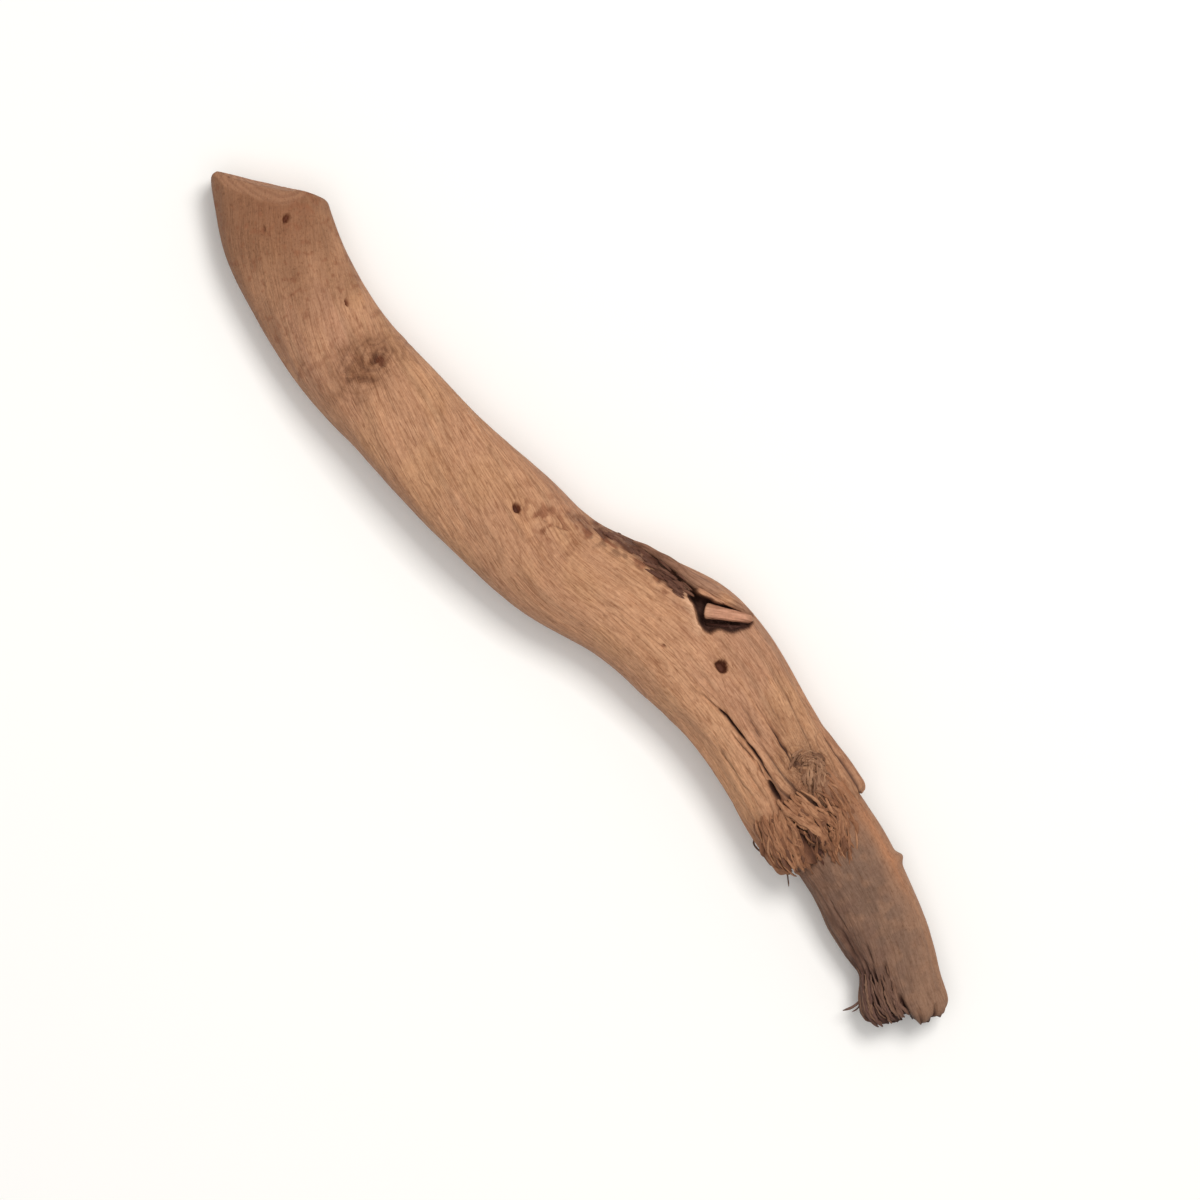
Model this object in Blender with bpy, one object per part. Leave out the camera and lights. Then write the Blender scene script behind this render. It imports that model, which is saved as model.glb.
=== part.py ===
# Spiderwood root: a thick root with a gentle S bend, sawn off at one end and torn off at the other.
# It lies on its side. +X runs from the sawn end to the torn end, +Z is up, and the origin is under
# the middle of its outline. Sizes are in millimetres and become metres where a mesh is made.
import math
import random

import bmesh
import bpy
import numpy as np
from mathutils import Vector

MM = 0.001

# Driving dimensions
# Each station: distance along, sideways shift of the middle, half width, half height, and the height
# of the underside over the surface that the root lies on. Below zero the underside is worn flat.
TRUNK = (
    (-20, 8.4, 11.4, 8.9, 0.8),
    (-4, 1.2, 11.8, 9.0, 0.3),
    (10, -5.2, 12.4, 9.2, -0.1),
    (24, -8.4, 12.1, 9.3, -0.3),
    (40, -9.7, 12.0, 9.4, 0.5),
    (56, -8.2, 11.9, 9.8, 1.5),
    (72, -6.6, 12.3, 9.4, 2.6),
    (88, -3.9, 12.8, 9.9, 2.3),
    (104, -0.8, 12.5, 10.0, 1.4),
    (120, 6.4, 12.8, 10.8, 0.4),
    (136, 11.6, 14.6, 11.4, -0.7),
    (144, 12.3, 14.2, 11.3, -0.6),
    (160, 11.5, 12.8, 10.5, 0.9),
    (176, 10.6, 13.5, 10.1, 1.5),
    (192, 9.9, 13.2, 9.4, 1.4),
)
CORE = (
    (150, 12.0, 8.6, 7.4, 3.4),
    (168, 11.2, 9.8, 7.9, 2.9),
    (184, 10.7, 10.4, 8.1, 1.6),
    (200, 9.0, 10.0, 7.8, 0.1),
    (212, 6.2, 9.6, 7.4, -0.35),
    (224, 1.9, 9.1, 6.8, 0.2),
    (236, -0.9, 8.4, 6.2, 0.8),
)
MIDDLE = (110.8, 2.9)  # the point of the stations' plan that stands over the origin
SQUARENESS = 2.3  # 2 is a plain ellipse, more is boxier
GRAIN_SLANT = math.radians(17)  # how steeply the grain and the flutes wind round the trunk
WINDING_ENDS = 122.0  # further along than this the grain runs straight
RIDGES_START = 142.0  # and the narrow flutes grow into ridges from here on

# Torn edge of the outer layer: angle round the trunk (0 at +Y, 90 on top) and distance along
TORN_EDGE = (
    (0, 182.5), (25, 181.5), (48, 177), (70, 180), (84, 184), (96, 186), (110, 181), (124, 188),
    (150, 188.5), (180, 186), (212, 181), (242, 177), (270, 183), (300, 179), (332, 182),
)
TORN_TEETH = 0.9
THINNED_ANGLE = 57.0  # the outer layer thins out gently here, instead of ending in a step
THINNED_SPREAD = 26.0
THINNED_LENGTH = 24.0
THINNED_SHARE = 0.17

# Frayed tip of the core
TIP_ALONG = 226.2
TIP_SKEW = 0.33  # the +Y side of the tip reaches further, by this much for each mm sideways
TIP_TEETH = 1.3

# Sawn end: a flat oblique cut, with its upper edge worn to a bevel
SAW_POINT = (-0.1, 0.1, 9.0)
SAW_NORMAL = (-0.62, 0.78, -0.06)
WORN_POINT = (1.6, -1.6, 15.9)
WORN_NORMAL = (-0.45, 0.45, 0.77)

# Hollow in the side at the widest place, the dead side root that lies in it, and the bark crease
# that runs into it
HOLLOW_OUTLINE = (
    (122.6, 18.6), (126.5, 16.9), (131.6, 15.5), (135.6, 15.9), (138.6, 19.6), (140.0, 23.4),
    (137.0, 23.6), (130.0, 21.4),
)
HOLLOW_FLOOR = 12.2
HOLLOW_FLOOR_SCALE = 0.66
STUB_FROM = (130.2, 18.8, 15.6)
STUB_TO = (139.4, 26.2, 12.6)
STUB_RADIUS = 1.7
CREASE = ((97.5, 11.6), (104.0, 12.3), (110.0, 14.2), (117.0, 17.2), (123.0, 19.0), (127.5, 19.2))
CREASE_WIDTH = 2.2
CREASE_DEPTH = 2.2

# Cracks on top, each with its path, its width at the surface and its depth
CRACKS = (
    (((143.6, 6.2), (149.8, 8.4), (157.0, 8.6), (165.0, 8.0), (173.5, 6.8), (181.5, 6.2)), 1.3, 3.4),
    (((153.5, 5.0), (161.0, 4.6), (168.0, 3.6)), 0.9, 2.2),
    (((155.0, 14.2), (162.0, 14.8), (168.5, 14.0)), 0.9, 2.0),
)
# Round holes and pits: place in plan, width and depth
PITS = (
    ((142.5, 14.0), 2.9, 3.6),
    ((88.7, 0.0), 2.3, 2.4),
    ((9.0, -1.5), 1.9, 1.6),
    ((31.1, -2.1), 1.5, 1.4),
    ((95.6, 4.0), 2.2, 1.4),
    ((47.2, -2.8), 2.0, 1.6),
    ((187.6, 7.4), 2.8, 3.0),
    ((184.0, 11.6), 2.4, 2.6),
)
KNOT = (45.4, -4.0)
KNOT_SPREAD = 7.5
KNOT_HEIGHT = 0.9

# How finely the skins are divided
TRUNK_RINGS, TRUNK_SIDES = 56, 44
CORE_RINGS, CORE_SIDES = 24, 34

TORN_FIBRES = 26
TIP_FIBRES = 30
RANDOM_SEED = 7

WOOD_COLOUR = (0.47, 0.24, 0.13, 1.0)
WOOD_ROUGHNESS = 0.72


def clear_scene():
    for obj in list(bpy.data.objects):
        bpy.data.objects.remove(obj, do_unlink=True)


def through(stations, column, along):
    """The value of one column, on a smooth curve through the stations."""
    x = np.array([s[0] for s in stations], float)
    y = np.array([s[column] for s in stations], float)
    slope = np.gradient(y, x)
    i = np.clip(np.searchsorted(x, along) - 1, 0, len(x) - 2)
    gap = x[i + 1] - x[i]
    t = (along - x[i]) / gap
    return (
        y[i] * (1 + 2 * t) * (1 - t) ** 2
        + slope[i] * gap * t * (1 - t) ** 2
        + y[i + 1] * t * t * (3 - 2 * t)
        + slope[i + 1] * gap * t * t * (t - 1)
    )


def winding(along):
    """Angle by which the grain has turned round the trunk, rising evenly and then levelling off."""
    soft = 10.0
    rate = math.tan(GRAIN_SLANT) / 12.5
    return rate * (along - soft * np.logaddexp(0, (along - WINDING_ENDS) / soft))


def flutes(along, angle):
    """Share by which broad lobes and narrower flutes lift the surface. They fade at both flanks,
    where the stations already give the outline."""
    round_trunk = angle - winding(along)
    lobes = (
        0.030 * np.cos(2 * round_trunk + 0.4)
        + 0.030 * np.cos(3 * round_trunk + 2.2 + along / 55)
        + 0.018 * np.cos(5 * round_trunk + along / 34)
    )
    ridge_share = 0.011 + 0.022 / (1 + np.exp((RIDGES_START - along) / 7))
    lobes += ridge_share * np.cos(11 * round_trunk + 1.4 * np.sin(along / 19))
    return lobes * np.abs(np.sin(angle)) ** 0.8


def swell(along, sideways, angle):
    """Low mound round the knot, in mm."""
    away = np.hypot(along - KNOT[0], sideways - KNOT[1]) / KNOT_SPREAD
    return KNOT_HEIGHT * np.exp(-(away**2)) * (np.sin(angle) > 0)


def skin(stations, along, angle):
    """Points of a skin at distances along the stations and angles round them."""
    middle = through(stations, 1, along)
    turn = (through(stations, 1, along + 0.5) - through(stations, 1, along - 0.5)) / 1.0
    stretch = np.sqrt(1 + turn**2)
    across_x, across_y = -turn / stretch, 1 / stretch
    half_width = through(stations, 2, along)
    half_height = through(stations, 3, along)
    underside = through(stations, 4, along)
    cos, sin = np.cos(angle), np.sin(angle)
    radius = (np.abs(cos) ** SQUARENESS + np.abs(sin) ** SQUARENESS) ** (-1 / SQUARENESS)
    radius = radius * (1 + flutes(along, angle))
    across = half_width * radius * cos
    x = along + across_x * across
    y = middle + across_y * across
    z = underside + half_height + half_height * radius * sin
    return np.stack([x, y, z + swell(x, y, angle)], axis=-1)


def torn_edge(angle):
    """Distance along at which the outer layer is torn off."""
    degrees = np.degrees(angle) % 360
    return np.interp(degrees, [e[0] for e in TORN_EDGE], [e[1] for e in TORN_EDGE], period=360)


def trunk_grid(rings, sides):
    """Trunk points from before the sawn end to the torn edge, and the shares along that edge."""
    angle = np.linspace(0, 2 * math.pi, sides, endpoint=False)[None, :]
    share = np.linspace(0, 1, rings)[:, None]
    teeth = TORN_TEETH * np.where(np.arange(sides) % 2 == 0, 1.0, -1.0)[None, :]
    end = torn_edge(angle) + teeth
    start = TRUNK[0][0]
    along = start + (end - start) * share
    points = skin(TRUNK, along, angle + 0 * along)
    beside = (np.degrees(angle) - THINNED_ANGLE) / THINNED_SPREAD
    near_end = np.clip(1 - (end - along) / THINNED_LENGTH, 0, 1)
    thinned = THINNED_SHARE * np.exp(-(beside**2)) * near_end**2 * (3 - 2 * near_end)
    middle = skin(TRUNK, along, angle + math.pi + 0 * along) * 0.5 + points * 0.5
    return points + (middle - points) * thinned[..., None]


def core_grid(rings, sides):
    """Core points from inside the trunk to the frayed tip."""
    angle = np.linspace(0, 2 * math.pi, sides, endpoint=False)[None, :]
    share = np.linspace(0, 1, rings)[:, None]
    teeth = TIP_TEETH * np.where(np.arange(sides) % 2 == 0, 1.0, -1.0)[None, :]
    end = TIP_ALONG + TIP_SKEW * 9 * np.cos(angle) + teeth
    start = CORE[0][0]
    along = start + (end - start) * share
    return skin(CORE, along, angle + 0 * along)


def in_metres(point):
    return (
        (point[0] - MIDDLE[0]) * MM,
        (point[1] - MIDDLE[1]) * MM,
        point[2] * MM,
    )


def closed_skin(name, grid, cap_depth):
    """Object from rings of points. Each end is closed to a point that lies cap_depth inside it."""
    bm = bmesh.new()
    rings = [[bm.verts.new(in_metres(p)) for p in ring] for ring in grid]
    sides = len(rings[0])
    for near, far in zip(rings[:-1], rings[1:]):
        for i in range(sides):
            j = (i + 1) % sides
            bm.faces.new((near[i], far[i], far[j], near[j]))
    for ring, points, inwards in ((rings[0], grid[0], 1), (rings[-1], grid[-1], -1)):
        hub = points.mean(axis=0)
        hub[0] += inwards * cap_depth
        tip = bm.verts.new(in_metres(hub))
        for i in range(sides):
            bm.faces.new((ring[i], ring[(i + 1) % sides], tip))
    return add_object(name, bm)


def add_object(name, bm):
    """Object from a closed mesh, in triangles so that each of its faces is flat."""
    bmesh.ops.recalc_face_normals(bm, faces=bm.faces)
    bmesh.ops.triangulate(bm, faces=bm.faces)
    mesh = bpy.data.meshes.new(name)
    bm.to_mesh(mesh)
    bm.free()
    obj = bpy.data.objects.new(name, mesh)
    bpy.context.scene.collection.objects.link(obj)
    return obj


def top_height(plan):
    """Height of the trunk's upper surface over a point of the plan."""
    half_width = through(TRUNK, 2, plan[0])
    half_height = through(TRUNK, 3, plan[0])
    off = min(abs(plan[1] - through(TRUNK, 1, plan[0])) / half_width, 0.98)
    rise = (1 - off**SQUARENESS) ** (1 / SQUARENESS)
    return through(TRUNK, 4, plan[0]) + half_height * (1 + rise)


def wedge(name, path, width, depth):
    """Cutter with a V section that follows a path over the upper surface and runs out at its ends."""
    bm = bmesh.new()
    rings = []
    for i, here in enumerate(path):
        before, after = path[max(i - 1, 0)], path[min(i + 1, len(path) - 1)]
        heading = Vector((after[0] - before[0], after[1] - before[1])).normalized()
        side = Vector((-heading.y, heading.x)) * width / 2
        height = top_height(here)
        at_end = i in (0, len(path) - 1)
        section = (
            (here[0] + side.x * 1.9, here[1] + side.y * 1.9, height + depth * 0.9),
            (here[0] - side.x * 1.9, here[1] - side.y * 1.9, height + depth * 0.9),
            (here[0], here[1], height - depth * (0.1 if at_end else 1.0)),
        )
        rings.append([bm.verts.new(in_metres(p)) for p in section])
    for near, far in zip(rings[:-1], rings[1:]):
        for i in range(3):
            j = (i + 1) % 3
            bm.faces.new((near[i], far[i], far[j], near[j]))
    bm.faces.new(rings[0])
    bm.faces.new(rings[-1])
    return add_object(name, bm)


def pit(name, plan, width, depth):
    """Cutter for a round hole with a narrower floor."""
    sides = 8
    height = top_height(plan)
    levels = ((height + 3, 0.62), (height - depth * 0.5, 0.5), (height - depth, 0.28))
    bm = bmesh.new()
    rings = []
    for level, share in levels:
        ring = []
        for i in range(sides):
            a = 2 * math.pi * (i + 0.3) / sides
            point = (plan[0] + width * share * math.cos(a), plan[1] + width * share * math.sin(a), level)
            ring.append(bm.verts.new(in_metres(point)))
        rings.append(ring)
    for near, far in zip(rings[:-1], rings[1:]):
        for i in range(sides):
            j = (i + 1) % sides
            bm.faces.new((near[i], far[i], far[j], near[j]))
    bm.faces.new(rings[0])
    bm.faces.new(rings[-1])
    return add_object(name, bm)


def hollow_cutter():
    """Cutter with the hollow's outline, narrowing to its floor."""
    centre = np.mean(HOLLOW_OUTLINE, axis=0)
    bm = bmesh.new()
    rings = []
    for level, scale in ((24.0, 1.12), (17.0, 1.0), (HOLLOW_FLOOR, HOLLOW_FLOOR_SCALE)):
        ring = []
        for x, y in HOLLOW_OUTLINE:
            point = (centre[0] + (x - centre[0]) * scale, centre[1] + (y - centre[1]) * scale, level)
            ring.append(bm.verts.new(in_metres(point)))
        rings.append(ring)
    sides = len(HOLLOW_OUTLINE)
    for near, far in zip(rings[:-1], rings[1:]):
        for i in range(sides):
            j = (i + 1) % sides
            bm.faces.new((near[i], far[i], far[j], near[j]))
    bm.faces.new(rings[0])
    bm.faces.new(rings[-1])
    return add_object("hollow_cutter", bm)


def strand(name, path, radii, sides):
    """Closed tapered rod along a path of points, with a radius at each."""
    bm = bmesh.new()
    rings = []
    for i, here in enumerate(path):
        before, after = path[max(i - 1, 0)], path[min(i + 1, len(path) - 1)]
        heading = (Vector(after) - Vector(before)).normalized()
        side = heading.cross(Vector((0, 0, 1))).normalized()
        up = side.cross(heading)
        ring = []
        for k in range(sides):
            a = 2 * math.pi * (k + 0.5) / sides
            offset = (side * math.cos(a) + up * math.sin(a)) * radii[i]
            ring.append(bm.verts.new(in_metres(Vector(here) + offset)))
        rings.append(ring)
    for near, far in zip(rings[:-1], rings[1:]):
        for i in range(sides):
            j = (i + 1) % sides
            bm.faces.new((near[i], far[i], far[j], near[j]))
    bm.faces.new(rings[0])
    bm.faces.new(rings[-1])
    return add_object(name, bm)


def stub():
    """Dead side root with a rounded end, lying across the hollow and sunk in its far wall."""
    start, end = Vector(STUB_FROM), Vector(STUB_TO)
    shares = (0.0, 0.05, 0.16, 0.5, 1.0)
    radii = [STUB_RADIUS * r for r in (0.45, 0.82, 1.0, 0.97, 1.05)]
    return strand("stub", [start.lerp(end, s) for s in shares], radii, 8)


def torn_fibres(rng):
    """Loose fibres that reach from the torn edge on over the core."""
    fibres = []
    for i in range(TORN_FIBRES):
        degrees = 74 + 92 * (i + rng.uniform(0.2, 0.8)) / TORN_FIBRES
        angle = math.radians(degrees)
        edge = float(torn_edge(angle))
        length = rng.uniform(3.0, 8.5)
        drift = math.radians(rng.uniform(-7, 9))
        from_trunk = skin(TRUNK, np.array(edge - 5.0), np.array(angle))
        at_edge = skin(TRUNK, np.array(edge), np.array(angle + drift / 2))
        beyond = skin(CORE, np.array(edge + length), np.array(angle + drift))
        from_trunk[2] -= 0.9
        at_edge[2] -= 0.5
        beyond[2] += 0.35
        radius = rng.uniform(0.55, 0.85)
        path = [tuple(from_trunk), tuple(at_edge), tuple(beyond)]
        fibres.append(strand(f"torn_fibre_{i}", path, (radius, radius, radius * 0.55), 4))
    return fibres


def tip_fibres(rng):
    """Broken fibres that stand out of the frayed tip at uneven lengths."""
    fibres = []
    for i in range(TIP_FIBRES):
        angle = 2 * math.pi * ((i * 0.618) % 1)
        depth = math.sqrt(rng.uniform(0.12, 0.86))
        reach = rng.uniform(0.5, 3.4)
        end = TIP_ALONG + TIP_SKEW * 9 * depth * math.cos(angle)
        path = []
        for along in (end - 7.0, end + reach):
            rim = skin(CORE, np.array(along), np.array(angle))
            far = skin(CORE, np.array(along), np.array(angle + math.pi))
            path.append(tuple((rim + far) / 2 + (rim - far) / 2 * depth))
        radius = rng.uniform(0.7, 1.15)
        fibres.append(strand(f"tip_fibre_{i}", path, (radius, radius * 0.55), 4))
    return fibres


def combine(body, others, operation):
    """Joins the others to the body, or cuts them from it, and removes them."""
    group = bpy.data.collections.new("operands")
    bpy.context.scene.collection.children.link(group)
    for other in others:
        bpy.context.scene.collection.objects.unlink(other)
        group.objects.link(other)
    change = body.modifiers.new(operation.lower(), "BOOLEAN")
    change.operation = operation
    change.solver = "EXACT"
    change.operand_type = "COLLECTION"
    change.collection = group
    bpy.context.view_layer.update()
    shaped = body.evaluated_get(bpy.context.evaluated_depsgraph_get())
    mesh = bpy.data.meshes.new_from_object(shaped)
    body.modifiers.clear()
    body.data = mesh
    for other in others:
        bpy.data.objects.remove(other, do_unlink=True)
    bpy.data.collections.remove(group)


def cut_flat(body, point, normal):
    """Takes off what lies beyond a plane and closes the cut with a flat face."""
    bm = bmesh.new()
    bm.from_mesh(body.data)
    everything = list(bm.verts) + list(bm.edges) + list(bm.faces)
    bmesh.ops.bisect_plane(
        bm,
        geom=everything,
        dist=1e-7,
        plane_co=in_metres(point),
        plane_no=normal,
        clear_outer=True,
    )
    open_edges = [e for e in bm.edges if e.is_boundary]
    bmesh.ops.holes_fill(bm, edges=open_edges, sides=0)
    bmesh.ops.recalc_face_normals(bm, faces=bm.faces)
    bm.to_mesh(body.data)
    bm.free()


def wood_material():
    material = bpy.data.materials.new("root_wood")
    material.use_nodes = True
    shader = material.node_tree.nodes["Principled BSDF"]
    shader.inputs["Base Color"].default_value = WOOD_COLOUR
    shader.inputs["Roughness"].default_value = WOOD_ROUGHNESS
    shader.inputs["Metallic"].default_value = 0.0
    return material


def build_root():
    rng = random.Random(RANDOM_SEED)
    root = closed_skin("spiderwood_root", trunk_grid(TRUNK_RINGS, TRUNK_SIDES), 13.0)
    core = closed_skin("core_skin", core_grid(CORE_RINGS, CORE_SIDES), 3.0)
    combine(root, [core], "UNION")
    cutters = [hollow_cutter(), wedge("crease", CREASE, CREASE_WIDTH, CREASE_DEPTH)]
    cutters += [wedge(f"crack_{i}", *crack) for i, crack in enumerate(CRACKS)]
    cutters += [pit(f"pit_{i}", *place) for i, place in enumerate(PITS)]
    combine(root, cutters, "DIFFERENCE")
    combine(root, [stub()] + torn_fibres(rng) + tip_fibres(rng), "UNION")
    cut_flat(root, SAW_POINT, SAW_NORMAL)
    cut_flat(root, WORN_POINT, WORN_NORMAL)
    cut_flat(root, (0, 0, 0), (0, 0, -1))
    root.data.materials.clear()
    root.data.materials.append(wood_material())
    root.data.shade_smooth()
    root.data.set_sharp_from_angle(angle=math.radians(40))
    return root


clear_scene()
build_root()
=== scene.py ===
# Spiderwood root: the looks. The root's skin, its torn outer layer, the bared core, the frayed fibres
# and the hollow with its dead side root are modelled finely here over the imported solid's form.
# Lengths are in millimetres along and across the root, and become metres where a mesh is made.
import math
import random

import bpy
import numpy as np
from mathutils import Matrix, Vector


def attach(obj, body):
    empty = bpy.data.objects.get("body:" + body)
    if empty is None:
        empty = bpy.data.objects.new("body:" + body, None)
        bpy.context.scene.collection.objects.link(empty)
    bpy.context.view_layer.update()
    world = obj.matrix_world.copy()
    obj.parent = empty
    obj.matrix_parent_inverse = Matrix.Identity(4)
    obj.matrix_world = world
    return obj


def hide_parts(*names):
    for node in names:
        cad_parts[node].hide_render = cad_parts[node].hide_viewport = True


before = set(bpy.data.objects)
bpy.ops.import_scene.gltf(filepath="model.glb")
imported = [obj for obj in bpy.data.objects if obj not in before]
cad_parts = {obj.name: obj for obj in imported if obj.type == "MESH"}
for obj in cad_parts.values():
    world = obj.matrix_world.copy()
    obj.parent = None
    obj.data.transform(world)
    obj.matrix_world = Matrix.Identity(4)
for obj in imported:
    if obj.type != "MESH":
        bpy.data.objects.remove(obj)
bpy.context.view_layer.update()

NODE = "spiderwood_root"
MM = 0.001
TAU = 2 * math.pi

# The solid's driving dimensions. Each row holds distance along, then these four columns:
SHIFT, HALF_WIDTH, HALF_HEIGHT, BOTTOM = 1, 2, 3, 4
TRUNK = (
    (-20, 8.4, 11.4, 8.9, 0.8),
    (-4, 1.2, 11.8, 9.0, 0.3),
    (10, -5.2, 12.4, 9.2, -0.1),
    (24, -8.4, 12.1, 9.3, -0.3),
    (40, -9.7, 12.0, 9.4, 0.5),
    (56, -8.2, 11.9, 9.8, 1.5),
    (72, -6.6, 12.3, 9.4, 2.6),
    (88, -3.9, 12.8, 9.9, 2.3),
    (104, -0.8, 12.5, 10.0, 1.4),
    (120, 6.4, 12.8, 10.8, 0.4),
    (136, 11.6, 14.6, 11.4, -0.7),
    (144, 12.3, 14.2, 11.3, -0.6),
    (160, 11.5, 12.8, 10.5, 0.9),
    (176, 10.6, 13.5, 10.1, 1.5),
    (192, 9.9, 13.2, 9.4, 1.4),
)
CORE = (
    (150, 12.0, 8.6, 7.4, 3.4),
    (168, 11.2, 9.8, 7.9, 2.9),
    (184, 10.7, 10.4, 8.1, 1.6),
    (200, 9.0, 10.0, 7.8, 0.1),
    (212, 6.2, 9.6, 7.4, -0.35),
    (224, 1.9, 9.1, 6.8, 0.2),
    (236, -0.9, 8.4, 6.2, 0.8),
)
# The point in plan that stands over the part's origin
MIDDLE = (110.8, 2.9)
# The section is a little squarer than an ellipse, whose value is 2
SQUARENESS = 2.3
# How the grain winds round the trunk, where that ends, and where the ridges start
GRAIN_SLANT = math.radians(17)
WINDING_ENDS = 122.0
WINDING_FADE = 10.0
RIDGES_START = 142.0
# The wood's pattern lies on cylinders of these radii, and the trunk measures this much round
GRAIN_RADIUS = 12.5
CORE_GRAIN_RADIUS = 9.5
GIRTH = 78.0
# Where the outer layer is torn off: degrees round the root, and distance along
TORN_EDGE = (
    (0, 182.5), (25, 181.5), (48, 177), (70, 180), (84, 184), (96, 186), (110, 181), (124, 188),
    (150, 188.5), (180, 186), (212, 181), (242, 177), (270, 183), (300, 179), (332, 182),
)
ALONG = np.array((1.0, 0.0, 0.0))
# The saw cut: a point on it, its direction, and the distances along between which it lies
SAW_POINT = np.array((-0.1, 0.1, 9.0))
SAW_NORMAL = np.array((-0.62, 0.78, -0.06)) / np.linalg.norm((-0.62, 0.78, -0.06))
SAW_REACH = (-19.5, 22.0)
# Its pith beside that point, the direction of the pith, and how fast the saw marks follow each other
PITH_OFFSET = np.array((1.0, 1.3, -0.6))
PITH_AXIS = np.array((0.92, -0.38, 0.0))
SAW_MARKS = np.array((1.9, 1.5, 5.0))
# Its upper edge is worn to a bevel
WORN_POINT = np.array((1.6, -1.6, 15.9))
WORN_NORMAL = np.array((-0.45, 0.45, 0.77)) / np.linalg.norm((-0.45, 0.45, 0.77))
WORN_SOFTNESS = 0.25
WORN_ENDS = 14.0
# How softly the root's underside turns flat where it lies
FLAT_SOFTNESS = 0.1
# The acute corner where the saw cut meets the left flank is worn round
CORNER = np.array((-11.0, -8.5))
FLANK_NORMAL = np.array((-0.414, -0.910))
CORNER_RADIUS = 2.4
# The hollow in plan, and the height of its floor
HOLLOW_OUTLINE = (
    (124.3, 18.0), (127.4, 16.9), (129.8, 16.5), (132.0, 15.8), (134.0, 15.6), (135.7, 16.1), (136.0, 17.8),
    (137.2, 18.9), (138.8, 20.6), (139.7, 22.2), (140.0, 24.0), (139.2, 25.6), (136.0, 25.2), (133.5, 24.2),
    (130.1, 21.6), (126.0, 19.6),
)
HOLLOW_FLOOR = 12.2
# The dead side root in the hollow, a thin root under it, and the strand of wood along the rim
STUB_PATH = (
    (130.9, 18.4, 15.6), (132.9, 20.3, 16.3), (135.2, 22.5, 16.5), (137.2, 24.3, 16.1), (138.7, 25.5, 15.2),
)
STUB_RADII = (1.72, 1.55, 1.32, 1.2, 1.05)
THIN_ROOT = ((133.4, 17.1, 13.2), (136.2, 20.0, 14.0), (138.2, 22.2, 14.2), (140.3, 24.3, 13.6))
THIN_ROOT_RADII = (0.3, 0.5, 0.45, 0.3)
RIM_STRAND = (
    (109.5, 15.8), (112.5, 17.4), (116.0, 18.8), (119.8, 20.0), (123.4, 21.0), (127.0, 22.4), (130.6, 23.9),
    (134.4, 25.3), (138.0, 26.4),
)
RIM_STRAND_RADII = (0.3, 0.7, 1.0, 1.2, 1.35, 1.35, 1.2, 0.9, 0.5)
# The bark crease in plan, and the lowest height that it reaches
CREASE = (
    (97.0, 7.9), (101.0, 10.0), (105.5, 12.5), (109.5, 14.3), (113.0, 15.7), (116.2, 16.5), (119.3, 17.0),
    (122.5, 17.6), (125.6, 18.3),
)
CREASE_FLOOR = 11.5
# Share of the crease's length with its width, drop, darkness, and how deep its bark strips lie
CREASE_WIDTHS = ((0, 0.9), (0.35, 1.5), (0.75, 1.9), (1, 1.5))
CREASE_DROPS = ((0, 0.2), (0.3, 1.0), (0.6, 2.6), (1, 3.6))
CREASE_DARKNESS = ((0, 0.35), (0.25, 0.6), (0.6, 1.0), (1, 1.0))
BARK_SINKS = ((0, 0.0), (0.3, 0.25), (0.6, 0.9), (1, 1.3))
# The knot's middle, how far it swells and how high
KNOT = (45.4, -4.0)
KNOT_SPREAD = 7.5
KNOT_HEIGHT = 0.9

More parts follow.
